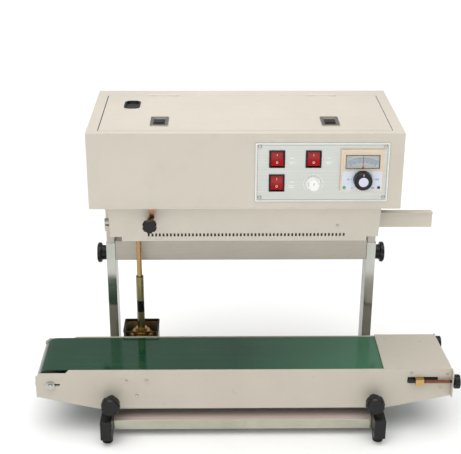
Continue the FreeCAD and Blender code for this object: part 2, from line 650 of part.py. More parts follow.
wy0, wy1 = d.bag_y - d.whl_off, d.bag_y + d.whl_off
WH = [("band_drive_wheel_front", d.drvw_x, wy0), ("band_drive_wheel_rear", d.drvw_x, wy1),
      ("band_idler_wheel_front", d.idlw_x, wy0), ("band_idler_wheel_rear", d.idlw_x, wy1)]
er = d.bag_y - 1.5 - d.emb_rad - d.gap
EM = [("embossing_roller_front", er), ("embossing_roller_rear", d.bag_y * 2 - er)]
base = box(-d.hd_w, d.hd_w, 0, d.hd_d, d.hd_bot, hz0, "base")
tools = [cyl("z", x, y, d.hd_bot - 1, d.whl_shaft + d.run_clr, 6, "hole") for nm, x, y in WH]
tools += [cyl("z", d.emb_x, y, d.hd_bot - 1, 4 + d.run_clr, 6, "hole") for nm, y in EM]
tools.append(cyl("z", d.drv_x, d.col_y, d.hd_bot - 1, 9, 6, "hole"))
tools.append(cyl("z", d.drv_x + math.sqrt(47.0 ** 2 - 33.0 ** 2), d.col_y - 33, d.hd_bot - 1, 5 + d.run_clr, 6, "hole"))
node("head_base_plate", cut(base, *tools))

legs = []
w = d.post_wall + 0.35
for sx in (-1, 1):
    a, c = d.post_out * sx, (d.post_out - d.post_wd) * sx
    x0, x1 = (a, c) if sx < 0 else (c, a)
    o = box(x0 + w, x1 - w, d.post_y + w, d.post_y + d.post_dep - w, 252, d.hd_bot, "leg")
    i = box(x0 + w + 1.5, x1 - w - 1.5, d.post_y + w + 1.5, d.post_y + d.post_dep - w - 1.5, 251, d.hd_bot - 6, "legin")
    ear = box(x0 + w, x1 - w, d.post_y - 14, d.post_y + w, d.hd_bot - 40, d.hd_bot, "ear")
    legs.append(cut(fuse(o, ear), i))
node("carriage_legs", group(*legs))

# front guard: bent sheet with a flange under the head, a comb of vent slots and end returns
b = Body("front_guard")
t = d.wall
slope = (d.gd_y1 - d.gd_y0) / (d.hd_bot - d.gd_z1)
ylow = d.gd_y1 + slope * (d.gd_z1 - d.gd_low)
s = b.sketch("YZ", [[(d.gd_y0, d.hd_bot), (d.gd_y1, d.gd_z1), (ylow, d.gd_low), (ylow + t, d.gd_low), (d.gd_y1 + t, d.gd_z1),
                     (d.gd_y0 + t, d.hd_bot - t), (36, d.hd_bot - t), (36, d.hd_bot)]])
b.pad(s, d.gd_hw * 2, sym=True)
for sx in (-1, 1):
    s = b.sketch("YZ", [[(d.gd_y0, d.hd_bot), (d.gd_y1, d.gd_z1), (48, d.gd_z1), (48, d.hd_bot)]], d.gd_hw * sx - (0 if sx < 0 else t))
    b.pad(s, t)
    s = b.sketch("XZ", [rect(220 * sx, 245 * sx, d.gd_low - 5, d.gd_z1) if sx > 0 else rect(-245, -220, d.gd_low - 5, d.gd_z1)], -24)
    b.pocket(s, 20)
s = b.sketch("YZ", [rect(33, 45, 421, 431)], -d.gd_hw - 10)
b.pad(s, 10.5)
s = b.sketch("XZ", [rect(-173, -173 + d.slot_wd, d.gd_z1 + 0.8, d.gd_z1 + 7.4)], -24)
p = b.pocket(s, 20)
b.linear(p, s, d.slot_pitch * 53, 54)
s = b.sketch("XZ", [("c", d.pk_x, d.pk_z, 4.0)], -16)
b.pocket(s, 20)
node("front_guard", b.b)

b = Body("rear_guard")
s = b.sketch("YZ", [[(146, d.hd_bot), (146, d.hd_bot - t), (157 - t, d.hd_bot - t), (157 - t, 412), (150, 404), (151.5, 403.2), (157, 411.4),
                     (157, d.hd_bot)]])
b.pad(s, d.gd_hw * 2, sym=True)
for sx in (-1, 1):
    s = b.sketch("YZ", [rect(118, 157, 413, d.hd_bot)], d.gd_hw * sx - (0 if sx < 0 else t))
    b.pad(s, t)
node("rear_guard", b.b)

b = Body("infeed_guide")
y0, y1 = d.gd_in_y, d.gd_in_y + d.gd_in_w
t = d.wall
s = b.sketch("YZ", [[(y0, d.gd_in_z0), (y0 + t, d.gd_in_z0), (y0 + t, d.gd_in_z1 - t), (y1 - t, d.gd_in_z1 - t), (y1 - t, d.gd_in_z0),
                     (y1, d.gd_in_z0), (y1, d.gd_in_z1), (y0, d.gd_in_z1)]], 204)
b.pad(s, 143.2)
s = b.sketch("YZ", [[(y0 + 2, d.gd_in_z1 - 1), (y0 + 4, d.gd_in_z1 - 1), (y0 + 4, d.hd_bot - t), (y1, d.hd_bot - t), (y1, d.hd_bot),
                     (y0 + 2, d.hd_bot)]], 206)
b.pad(s, 30)
node("infeed_guide", b.b)

b = Body("control_panel")
s = b.sketch("XZ", [rect(d.pn_x0, d.pn_x1, d.pn_z0, d.pn_z1)], 0)
b.pad(s, 1.5)
holes = [rect(rx - 12.8, rx + 12.8, rz - 14.6, rz + 14.6) for nm, rx, rz in ROCK]
holes += [rect(d.tc_x - 35, d.tc_x + 35, d.tc_z - 35, d.tc_z + 35), ("c", d.spd_x, d.spd_z, 4.2)]
s = b.sketch("XZ", holes, 0.7)
b.pocket(s, 6)
node("control_panel", b.b)

scr = []
for x, z in ((24.8, 593.5), (244 - 3.0, 593.0), (25.2, 499.5), (241.0, 499.5)):
    scr.append(cut(cyl("y", x, -3.2, z, 3.0, 1.7, "head"), box(x - 3.2, x + 3.2, -3.6, -2.6, z - 0.45, z + 0.45, "drive")))
for x in (-262, 262):
    for y in (20, 190):
        scr.append(cyl("z", x, y, d.hd_bot - 2.2, 4.0, 2.2, "head"))
scr.append(cyl("x", -d.gd_hw - 10, 39, 437.5, 6.0, 10, "thumb"))
for x in HX:
    parts = [cyl("x", x - 28, hy, hz, 1.5, 56, "pin")]
    for a in (x - 28, x + 15.4):
        parts.append(cyl("x", a, hy, hz, 2.6, 12.6, "knuckle"))
        parts.append(box(a, a + 12.6, hy, hy + 16, hz - 3.1, hz - d.wall, "leaf"))
    scr.append(fuse(*parts))
node("head_hardware", group(*scr))

bez = []
for nm, rx, rz in ROCK:
    fr = box(rx - d.rk_hw, rx + d.rk_hw, -4.2, -1.5, rz - d.rk_hh, rz + d.rk_hh, "bezel")
    bd = box(rx - 12.6, rx + 12.6, -1.5, 18, rz - 14.4, rz + 14.4, "case")
    op = box(rx - 11.3, rx + 11.3, -6, 16.5, rz - 13.6, rz + 13.6, "open")
    bez.append(cut(fuse(fr, bd), op))
node("switch_bezels", group(*bez))


def rocker(name, rx, rz):
    """Rocker key: two flats that meet in a shallow valley, rests with its upper half in."""
    b = Body(name)
    s = b.sketch("YZ", [[(-8.4, -12.2), (-6.4, 0), (-8.4, 12.2), (-5.5, 12.6), (3, 7), (5, 0), (3, -7), (-5.5, -12.6)]])
    b.pad(s, 21.6, sym=True)
    place(b.b, rx, 4, rz, R(V(1, 0, 0), -9))
    return node(name, b.b)


for nm, rx, rz in ROCK:
    rocker(nm, rx, rz)

hx, hzz = d.tc_x, d.tc_z
bezel = box(hx - d.tc_hw, hx + d.tc_hw, -6.5, -1.5, 512.5, 588, "bezel")
case = box(hx - 34.5, hx + 34.5, -1.5, 62, hzz - 34.5, hzz + 34.5, "case")
win = box(171.4, 231.4, -8, -3.0, 553.5, 580.5, "window")
node("controller_housing", cut(fuse(bezel, case), win, cyl("y", hx + 1, -8, d.tck_z, 3.06, 12, "bore"),
                               cyl("y", hx + 1, -4, 556.0, 1.06, 5, "pivot")))
knob_teeth("controller_knob", "y", hx + 1, -21, d.tck_z, [(0, 0), (14.4, 0), (15.6, 1.5), (16.4, 14.3), (3, 14.3), (3, 24), (0, 24)], 20, 1.1, 16.9, 24)
ptr = fuse(cyl("y", hx + 1, -4.6, 556.0, 2.0, 0.9, "hub"), cyl("y", hx + 1, -4.0, 556.0, 1.0, 4, "pin"),
           box(hx + 0.5, hx + 1.5, -4.6, -4.0, 556.0, 575.0, "needle"))
node("controller_pointer", ptr)
knob_teeth("speed_knob", "y", d.spd_x, -17, d.spd_z, [(0, 0), (8.4, 0), (9.0, 1), (10.3, 15.2), (3.5, 15.2), (3.5, 22), (0, 22)], 18, 0.8, 10.5, 26)


def star(name, axis, x, y, z, prof, lobes, rc, at, depth, flip=False):
    b = Body(name)
    s = b.sketch("XZ", [prof])
    b.revolve(s)
    s2 = b.sketch("XY", [("c", at, 0, rc)], 0)
    p = b.pocket(s2, depth)
    b.polar(p, s2, lobes)
    rot = ROT[axis]
    if flip:
        rot = R(V(0, 1, 0), -90) if axis == "x" else R(V(1, 0, 0), 90)
    place(b.b, x, y, z, rot)
    return node(name, b.b)


LOCK = [(0, 0), (18, 0), (20.4, 2), (20.4, 7), (18.5, 8.8), (15.3, 8.8), (14.5, 19.2), (4, 19.2), (4, 20.5), (0, 20.5)]
star("post_knob_left", "x", -d.post_out - 19.4, d.lock_y, d.lock_z, LOCK, 5, 5.5, 23.5, 17.6)
star("post_knob_right", "x", d.post_out + 19.4, d.lock_y, d.lock_z, LOCK, 5, 5.5, 23.5, 17.6, flip=True)
star("pressure_knob", "y", d.pk_x, -18, d.pk_z, [(0, 0), (10.5, 0), (12.9, 2), (12.9, 8), (11, 10), (6, 10), (5.5, 25), (3, 28), (3, 60), (0, 60)], 6, 3.6,
     14.6, 30)


# ------------------------------------------------------- drive and sealing train
def spur(teeth, mod, thick, phase, z0, x, y):
    rp = teeth * mod / 2
    pts = []
    for i in range(teeth):
        for da, dr in ((-0.31, -1.2), (-0.235, -0.1), (-0.115, 0.85), (0.115, 0.85), (0.235, -0.1), (0.31, -1.2)):
            a = 2 * math.pi * (i + da) / teeth + phase
            pts.append(V(x + (rp + dr * mod) * math.cos(a), y + (rp + dr * mod) * math.sin(a), z0))
    pts.append(pts[0])
    return Part.Face(Part.makePolygon(pts)).extrude(V(0, 0, thick))


def disc(r, z0, z1, x, y):
    return Part.makeCylinder(r, z1 - z0, V(x, y, z0))


GZ0, GZ1 = 484.0, 494.0
GM = 2.0


def mesh_phase(a, pa, ta, b, tb):
    """Angle of a tooth on gear b so that it meshes with gear a."""
    th = math.atan2(b[1] - a[1], b[0] - a[0])
    ra, rb = ta * GM / 2, tb * GM / 2
    return th + math.pi - (ra * (pa - th) + math.pi * GM / 2) / rb


REV = (d.drv_x.v + math.sqrt(47.0 ** 2 - 33.0 ** 2), d.col_y.v - 33.0)
P_COL = 0.0
P_REV = mesh_phase((d.drv_x.v, d.col_y.v), P_COL, 27, REV, 20)
P_REAR = mesh_phase(REV, P_REV, 20, (d.drvw_x.v, wy1.v), 27)
P_FRONT = mesh_phase((d.drvw_x.v, wy1.v), P_REAR, 27, (d.drvw_x.v, wy0.v), 27)
zb, zt = d.whl_z0.v, d.whl_z1.v
xr, yc = d.drv_x.v, d.col_y.v
for nm, x, y in WH:
    xx, yy = x.v, y.v
    body = disc(d.whl_rad.v, zb, zt, xx, yy).fuse([disc(d.whl_shaft.v, zt - 1, GZ1 + 3 if "drive" in nm else 483.5, xx, yy)])
    for k in range(5):
        a = 2 * math.pi * k / 5
        body = body.cut(Part.makeCylinder(5.0, 60, V(xx + 15.5 * math.cos(a), yy + 15.5 * math.sin(a), zb - 10)).cut(
            Part.makeCylinder(8.6, 60, V(xx, yy, zb - 10))))
    if "drive" in nm:
        ph = P_REAR if "rear" in nm else P_FRONT
        gear = spur(27, GM, GZ1 - GZ0, ph, GZ0, xx, yy)
        body = body.fuse([gear])
    else:
        body = body.fuse([disc(9, 480.5, 483.5, xx, yy)])
    feature(nm, body.removeSplitter())

for nm, y in EM:
    yy, xx = y.v, d.emb_x.v
    s = disc(d.emb_rad.v, zb + 1, zt - 1, xx, yy).fuse([disc(4, zt - 2, 483.5, xx, yy), disc(7, 480.5, 483.5, xx, yy)])
    feature(nm, s.removeSplitter())

bands = [loop_solid([(d.drvw_x.v, y.v, d.whl_rad.v + g), (d.idlw_x.v, y.v, d.whl_rad.v + g)], d.band_thk.v, 406.0, 422.0, "xy") for y in (wy0, wy1)]
feature("sealing_bands", Part.makeCompound(bands))

inner = (d.whl_rad + d.gap)      # distance of a band's inner face from its wheel axis


def block(x0, x1, depth, fins):
    out = []
    for sgn, wy in ((1, wy0), (-1, wy1)):
        fy = wy + (inner - 0.3) * sgn
        ya, yb = (fy - depth, fy) if sgn > 0 else (fy, fy + depth)
        o = box(x0, x1, ya, yb, 406, 422, "block")
        pins = [cyl("z", px, (ya + yb) / 2, 421, 3.5, d.hd_bot - 421, "pin") for px in (x0 + 14, x1 - 14)]
        o = fuse(o, *pins)
        if fins:
            cuts = []
            for k in range(9):
                fx = x0 + 6 + 13.4 * k
                cuts.append(box(fx, fx + 6, ya - 1, ya + depth - 6, 405, 417, "gap") if sgn > 0 else
                            box(fx, fx + 6, yb - depth + 6, yb + 1, 405, 417, "gap"))
            o = cut(o, *cuts)
        out.append(o)
    return group(*out)


node("heating_blocks", block(45, 130, 17, False))
node("cooling_blocks", block(-105, 20, 20, True))

col = Part.makeCylinder(d.rod_rad.v, 545 - d.rod_tip.v, V(xr, yc, d.rod_tip.v))
col = col.fuse([spur(27, GM, GZ1 - GZ0, P_COL, GZ0, xr, yc)]).removeSplitter()
groove = Part.makeBox(2.1, 3.0, 470 - d.rod_tip.v + 1, V(xr - 1.05, yc + 3.35, d.rod_tip.v - 1))
feature("drive_rod", col.cut(groove))
rev = disc(5.0, 478, 498, *REV).fuse([disc(8.0, 480.5, 485, *REV), spur(20, GM, GZ1 - GZ0, P_REV, GZ0, *REV)])
feature("reversing_gear", rev.removeSplitter())

mz = 540
mot = fuse(box(xr - 35, xr + 35, 141, 211, 500, 572, "gearbox"), cyl("x", xr + 35, 176, mz, 30, 118, "motor"), cyl("x", xr + 153, 176, mz, 24, 12, "cowl"),
           box(xr - 41, xr - 33, 146, 206, hz0, 520, "leg"))
mot = cut(mot, cyl("z", xr, yc, 499, d.rod_rad + d.run_clr, 80, "bore"))
foot2 = box(xr + 60, xr + 130, 150, 202, hz0, mz - 29, "cradle")
node("drive_motor", fuse(mot, foot2))

gl = fuse(cyl("y", -190, d.hd_d, 505, 13, 5, "nut"), cyl("y", -190, d.hd_d + 5, 505, 11, 12, "gland", r2=8.5), cyl("y", -190, d.hd_d - 8, 505, 8, 8, "thread"))
node("power_inlet", cut(gl, cyl("y", -190, d.hd_d - 10, 505, 4.2, 32, "bore")))

# lid with turned-down edges, latch frames and hinge knuckles; pin line at the back edge
b = Body("lid")
t = d.wall
s = b.sketch("XY", [rect(-d.lid_hw, d.lid_hw, d.lid_y0, d.lid_y1)], d.hd_top - t)
b.pad(s, t)
s = b.sketch("XY", [[(-d.lid_hw, d.lid_y0), (d.lid_hw, d.lid_y0), (d.lid_hw, 200), (d.lid_hw - t, 200), (d.lid_hw - t, d.lid_y0 + t),
                     (-d.lid_hw + t, d.lid_y0 + t), (-d.lid_hw + t, 200), (-d.lid_hw, 200)]], d.hd_top - 10)
b.pad(s, 9)
s = b.sketch("XY", [rect(-217, -191, 146, 190)], d.hd_top)
b.pocket(s, 8)
for sx in (-1, 1):
    lx = d.lat_x * sx
    s = b.sketch("XY", [rect(lx - 16, lx + 16, 40, 91), rect(lx - 10.5, lx + 10.5, 46, 85)], d.hd_top)
    b.pad(s, 1.6)
    s = b.sketch("XY", [rect(lx - 10.5, lx + 10.5, 46, 85)], d.hd_top)
    b.pocket(s, 8)
for sx in (-1, 1):
    lx = d.lat_x * sx
    s = b.sketch("XY", [rect(lx - 12, lx + 12, 43, 88)], d.hd_top - 7)
    b.pad(s, 1.5)
    s = b.sketch("XY", [rect(lx - 12, lx - 10.6, 43, 88), rect(lx + 10.6, lx + 12, 43, 88)], d.hd_top - 6)
    b.pad(s, 5)
adds, subs = [], []
for x in HX:
    adds += [cyl("x", x - 15.1, hy, hz, 2.6, 30.2, "knuckle"), box(x - 15.1, x + 15.1, hy - 14, hy, hz - 3.1, hz - 1.4, "leaf")]
    subs.append(cyl("x", x - 16, hy, hz, 1.5 + d.run_clr, 32, "bore"))
    subs += [box(x - 28.4, x - 15.1, hy - 3.2, hy + 3, hz - 5, hz + 3, "notch"), box(x + 15.1, x + 28.4, hy - 3.2, hy + 3, hz - 5, hz + 3, "notch")]
node("lid", cut(fuse(b.b, *adds), *subs))
for nm, sx in (("left", -1), ("right", 1)):
    lx = d.lat_x * sx
    key = box(lx - 10.2, lx + 10.2, 52, 79, d.hd_top - 5.2, d.hd_top + 0.8, "key")
    grip = box(lx - 8, lx + 8, 58, 62, d.hd_top + 0.8, d.hd_top + 1.9, "ridge")
    node("lid_latch_" + nm, fuse(key, grip))

# ------------------------------------------------------------------- checks
doc.recompute()
bad = []
for o in doc.Objects:
    if "Invalid" in o.State or "Error" in o.State:
        bad.append((o.Name, o.Label, o.State))
for nm, o in NODES:
    sh = o.Shape
    if sh.isNull() or not sh.isValid() or not sh.Solids:
        bad.append((nm, "shape"))
if bad:
    raise RuntimeError("failed objects: %s" % bad[:12])
names = [nm for nm, o in NODES]
if len(set(names)) != len(names) or len(names) > 60:
    raise RuntimeError("node names %d" % len(names))
os.makedirs("parts", exist_ok=True)
bb = FreeCAD.BoundBox()
for nm, o in NODES:
    o.Shape.exportStep("parts/%s.step" % nm)
    bb.add(o.Shape.BoundBox)
print("nodes", len(NODES))
print("box", [round(v, 2) for v in (bb.XMin, bb.XMax, bb.YMin, bb.YMax, bb.ZMin, bb.ZMax)])
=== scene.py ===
import bpy, bmesh, json, math
from mathutils import Vector, Matrix


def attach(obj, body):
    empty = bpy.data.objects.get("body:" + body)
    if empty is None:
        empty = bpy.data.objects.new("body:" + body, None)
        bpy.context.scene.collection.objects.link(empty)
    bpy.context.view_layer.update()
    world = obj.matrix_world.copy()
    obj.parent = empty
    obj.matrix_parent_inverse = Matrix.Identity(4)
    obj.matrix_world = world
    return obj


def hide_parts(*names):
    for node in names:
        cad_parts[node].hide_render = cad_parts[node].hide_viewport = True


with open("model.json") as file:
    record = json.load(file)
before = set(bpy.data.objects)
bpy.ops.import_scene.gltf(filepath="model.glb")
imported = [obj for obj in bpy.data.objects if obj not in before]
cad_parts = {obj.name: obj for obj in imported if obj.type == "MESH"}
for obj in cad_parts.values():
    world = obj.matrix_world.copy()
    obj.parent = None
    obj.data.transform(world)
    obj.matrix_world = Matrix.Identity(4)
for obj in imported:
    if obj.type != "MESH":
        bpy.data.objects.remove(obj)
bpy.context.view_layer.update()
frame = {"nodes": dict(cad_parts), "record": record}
N = frame["nodes"]
SLOT = {s["node"]: s.get("material_slot") for s in frame["record"]["subparts"]}
BODY = {n: b for b, ns in frame["record"]["behaviour"]["bodies"].items() for n in ns}
scene = bpy.context.scene


def P(x, y, z):
    """Machine layout in millimetres to the row frame in metres."""
    return Vector(((x - 8.0) / 1000, (y - 133.0) / 1000, z / 1000))


# ------------------------------------------------------------------ materials
class Tree:
    def __init__(self, name):
        self.m = bpy.data.materials.new(name)
        self.m.use_nodes = True
        self.t = self.m.node_tree
        self.b = self.t.nodes["Principled BSDF"]
        self.tc = self.t.nodes.new("ShaderNodeTexCoord")

    def new(self, kind, **k):
        n = self.t.nodes.new(kind)
        for a, v in k.items():
            setattr(n, a, v)
        return n

    def link(self, a, b):
        self.t.links.new(a, b)

    def noise(self, scale, detail=3.0, rough=0.55, stretch=None, distort=0.0):
        n = self.new("ShaderNodeTexNoise")
        n.inputs["Scale"].default_value = scale
        n.inputs["Detail"].default_value = detail
        n.inputs["Roughness"].default_value = rough
        n.inputs["Distortion"].default_value = distort
        if stretch:
            mp = self.new("ShaderNodeMapping")
            mp.inputs["Scale"].default_value = stretch
            self.link(self.tc.outputs["Object"], mp.inputs["Vector"])
            self.link(mp.outputs["Vector"], n.inputs["Vector"])
        else:
            self.link(self.tc.outputs["Object"], n.inputs["Vector"])
        return n.outputs["Fac"]

    def remap(self, src, a, b, lo=0.3, hi=0.7):
        r = self.new("ShaderNodeMapRange")
        r.inputs["From Min"].default_value, r.inputs["From Max"].default_value = lo, hi
        r.inputs["To Min"].default_value, r.inputs["To Max"].default_value = a, b
        self.link(src, r.inputs["Value"])
        return r.outputs["Result"]

    def mix(self, fac, a, b):
        x = self.new("ShaderNodeMix", data_type="RGBA")
        for sock, v in ((x.inputs["A"], a), (x.inputs["B"], b)):
            if isinstance(v, (tuple, list)):
                sock.default_value = (*v[:3], 1)
            else:
                self.link(v, sock)
        if isinstance(fac, float):
            x.inputs["Factor"].default_value = fac
        else:
            self.link(fac, x.inputs["Factor"])
        return x.outputs["Result"]

    def bump(self, pairs):
        prev = None
        for src, strength, dist in pairs:
            n = self.new("ShaderNodeBump")
            n.inputs["Strength"].default_value = strength
            n.inputs["Distance"].default_value = dist
            self.link(src, n.inputs["Height"])
            if prev:
                self.link(prev, n.inputs["Normal"])
            prev = n.outputs["Normal"]
        self.link(prev, self.b.inputs["Normal"])

    def edges(self, radius, noise_scale=60.0, amount=0.75):
        """Mask of worn edges: where the rounded normal leaves the flat one, broken up by noise."""
        bv = self.new("ShaderNodeBevel", samples=4)
        bv.inputs["Radius"].default_value = radius
        ge = self.new("ShaderNodeNewGeometry")
        dt = self.new("ShaderNodeVectorMath", operation="DOT_PRODUCT")
        self.link(bv.outputs["Normal"], dt.inputs[0])
        self.link(ge.outputs["Normal"], dt.inputs[1])
        e = self.remap(dt.outputs["Value"], amount, 0.0, 0.80, 0.985)
        n = self.remap(self.noise(noise_scale, 6.0, 0.65), 0.0, 1.0, 0.45, 0.62)
        m = self.new("ShaderNodeMath", operation="MULTIPLY", use_clamp=True)
        self.link(e, m.inputs[0])
        self.link(n, m.inputs[1])
        return m.outputs[0]

    def set(self, **k):
        names = {"rough": "Roughness", "metal": "Metallic", "coat": "Coat Weight", "coat_rough": "Coat Roughness", "ior": "IOR",
                 "aniso": "Anisotropic", "spec": "Specular IOR Level", "trans": "Transmission Weight", "alpha": "Alpha",
                 "sheen": "Sheen Weight", "sss": "Subsurface Weight"}
        for a, v in k.items():
            self.b.inputs[names[a]].default_value = v


def lin(r, g, b):
    f = lambda c: c / 255 / 12.92 if c / 255 <= 0.04045 else ((c / 255 + 0.055) / 1.055) ** 2.4
    return (f(r), f(g), f(b))


def sh(c, k):
    return tuple(min(1.0, v * k) for v in c)


def painted(name, col, rough=0.38, peel=0.14, wear=0.55, dark=None):
    t = Tree(name)
    cloud = t.remap(t.noise(7, 4), 0, 1)
    c = t.mix(cloud, sh(col, 0.965), sh(col, 1.03))
    speck = t.remap(t.noise(1400, 1), 0, 0.25, 0.55, 0.72)
    c = t.mix(speck, c, sh(col, 0.86))
    dust = t.remap(t.noise(34, 8, 0.7), 0, 0.22, 0.52, 0.75)
    c = t.mix(dust, c, dark or sh(col, 0.80))
    c = t.mix(t.edges(0.0012, 90, wear), c, sh(col, 0.66))
    t.link(c, t.b.inputs["Base Color"])
    t.link(t.remap(t.noise(46, 6), rough - 0.07, rough + 0.10), t.b.inputs["Roughness"])
    t.bump([(t.noise(520, 2), peel, 0.0004), (t.noise(1900, 1), peel * 0.5, 0.0002)])
    t.set(spec=0.5)
    return t.m


def brushed(name, col, rough=0.3, along="x", strength=0.12, aniso=0.5, tarnish=0.85, wear=0.3):
    t = Tree(name)
    st = {"x": (6, 700, 700), "y": (700, 6, 700), "z": (700, 700, 6)}[along]
    g = t.noise(1.0, 4, 0.6, st)
    c = t.mix(t.remap(g, 0, 1), sh(col, 0.84), sh(col, 1.10))
    c = t.mix(t.remap(t.noise(11, 6, 0.6), 0, 0.55), c, sh(col, tarnish))
    c = t.mix(t.edges(0.0009, 120, wear), c, sh(col, 1.25))
    t.link(c, t.b.inputs["Base Color"])
    t.link(t.remap(g, rough - 0.08, rough + 0.12), t.b.inputs["Roughness"])
    t.bump([(g, strength, 0.0002), (t.noise(60, 4), 0.03, 0.0008)])
    t.set(metal=1.0, aniso=aniso)
    return t.m


def polished(name, col, rough=0.09, along="z"):
    t = Tree(name)
    st = {"x": (2, 240, 240), "z": (240, 240, 2)}[along]
    g = t.noise(1.0, 3, 0.5, st)
    c = t.mix(t.remap(t.noise(18, 5), 0, 1), sh(col, 0.86), sh(col, 1.06))
    c = t.mix(t.remap(t.noise(300, 4, 0.7), 0, 0.4, 0.62, 0.8), c, sh(col, 0.55))
    t.link(c, t.b.inputs["Base Color"])
    t.link(t.remap(t.noise(26, 6), rough - 0.03, rough + 0.09), t.b.inputs["Roughness"])
    t.bump([(g, 0.05, 0.0003), (t.noise(9, 2), 0.12, 0.002)])
    t.set(metal=1.0)
    return t.m


def turned_metal(name, col, rough=0.25, tarnish=(0.5, 0.45, 0.4)):
    t = Tree(name)
    g = t.noise(900, 2)
    c = t.mix(t.remap(t.noise(30, 6), 0, 0.8), col, tuple(a * b for a, b in zip(col, (tarnish[0] + 0.35, tarnish[1] + 0.35, tarnish[2] + 0.35))))
    c = t.mix(t.remap(t.noise(240, 5, 0.7), 0, 0.35, 0.55, 0.75), c, sh(col, 0.45))
    c = t.mix(t.edges(0.0006, 200, 0.5), c, sh(col, 1.3))
    t.link(c, t.b.inputs["Base Color"])
    t.link(t.remap(t.noise(70, 5), rough - 0.08, rough + 0.14), t.b.inputs["Roughness"])
    t.bump([(g, 0.10, 0.0002)])
    t.set(metal=1.0)
    return t.m


def plastic(name, col, rough=0.42, grain=0.25, coat=0.0, scale=1200, var=0.12, sss=0.0, edge=0.35, speck=0.03, spec=0.5):
    t = Tree(name)
    c = t.mix(t.remap(t.noise(24, 5), 0, 1), sh(col, 1 - var), sh(col, 1 + var))
    c = t.mix(t.remap(t.noise(380, 6, 0.75), 0, 0.25, 0.6, 0.8), c, tuple(v * 0.8 + speck for v in col))
    c = t.mix(t.edges(0.0007, 150, edge), c, tuple(v * 0.9 + speck * 1.6 for v in col))
    t.link(c, t.b.inputs["Base Color"])
    t.link(t.remap(t.noise(60, 5), rough - 0.09, rough + 0.12), t.b.inputs["Roughness"])
    t.bump([(t.noise(scale, 2), grain, 0.00018), (t.noise(120, 3), grain * 0.2, 0.0004)])
    t.set(spec=spec, coat=coat, coat_rough=0.08, sss=sss)
    return t.m


def belt_mat():
    t = Tree("m_belt_pvc")
    g = lin(22, 70, 46)
    c = t.mix(t.remap(t.noise(5, 4), 0, 1), sh(g, 0.80), sh(g, 1.25))
    rub = t.noise(1.0, 6, 0.65, (3, 90, 90))
    c = t.mix(t.remap(rub, 0, 0.22, 0.5, 0.72), c, lin(46, 96, 70))
    c = t.mix(t.remap(t.noise(420, 4, 0.7), 0, 0.25, 0.6, 0.8), c, lin(66, 108, 88))
    xyz = t.new("ShaderNodeSeparateXYZ")
    t.link(t.tc.outputs["Object"], xyz.inputs[0])
    # painted shade: the belt colour darkens toward its left end
    c = t.mix(t.remap(xyz.outputs["X"], 0.55, 0.0, -0.38, -0.10), c, lin(10, 46, 28))
    # painted reflection: the belt colour lightens toward its right end
    c = t.mix(t.remap(xyz.outputs["X"], 0.0, 0.45, -0.02, 0.24), c, lin(84, 134, 104))
    t.link(c, t.b.inputs["Base Color"])
    t.link(t.remap(rub, 0.07, 0.16), t.b.inputs["Roughness"])
    wv = t.new("ShaderNodeTexVoronoi")
    wv.inputs["Scale"].default_value = 900
    t.link(t.tc.outputs["Object"], wv.inputs["Vector"])
    t.bump([(wv.outputs["Distance"], 0.03, 0.0001), (t.noise(14, 3), 0.05, 0.0008)])
    t.set(spec=0.40)
    return t.m


def cloth_band():
    t = Tree("m_band_ptfe")
    col = lin(150, 112, 78)
    w = t.new("ShaderNodeTexWave", wave_type="BANDS", bands_direction="Z")
    w.inputs["Scale"].default_value = 500
    t.link(t.tc.outputs["Object"], w.inputs["Vector"])
    w2 = t.new("ShaderNodeTexWave", wave_type="BANDS", bands_direction="X")
    w2.inputs["Scale"].default_value = 500
    t.link(t.tc.outputs["Object"], w2.inputs["Vector"])
    c = t.mix(w.outputs["Fac"], sh(col, 0.7), sh(col, 1.15))
    c = t.mix(t.remap(t.noise(30, 6), 0, 0.5), c, sh(col, 0.55))
    t.link(c, t.b.inputs["Base Color"])
    t.link(t.remap(t.noise(50, 5), 0.25, 0.45), t.b.inputs["Roughness"])
    t.bump([(w.outputs["Fac"], 0.2, 0.0001), (w2.outputs["Fac"], 0.2, 0.0001)])
    return t.m


def glow(name, col, k):
    t = Tree(name)
    c = t.mix(t.remap(t.noise(700, 3), 0, 1), sh(col, 0.8), sh(col, 1.15))
    t.link(c, t.b.inputs["Base Color"])
    t.link(c, t.b.inputs["Emission Color"])
    t.b.inputs["Emission Strength"].default_value = k
    t.bump([(t.noise(600, 2), 0.1, 0.0001)])
    t.link(t.remap(t.noise(200, 3), 0.12, 0.25), t.b.inputs["Roughness"])
    return t.m


def glass_mat():
    t = Tree("m_window_glass")
    t.b.inputs["Base Color"].default_value = (0.93, 0.96, 0.97, 1)
    t.link(t.remap(t.noise(90, 5), 0.02, 0.10), t.b.inputs["Roughness"])
    t.bump([(t.noise(40, 3), 0.02, 0.0004)])
    t.set(ior=1.49, trans=1.0)
    return t.m


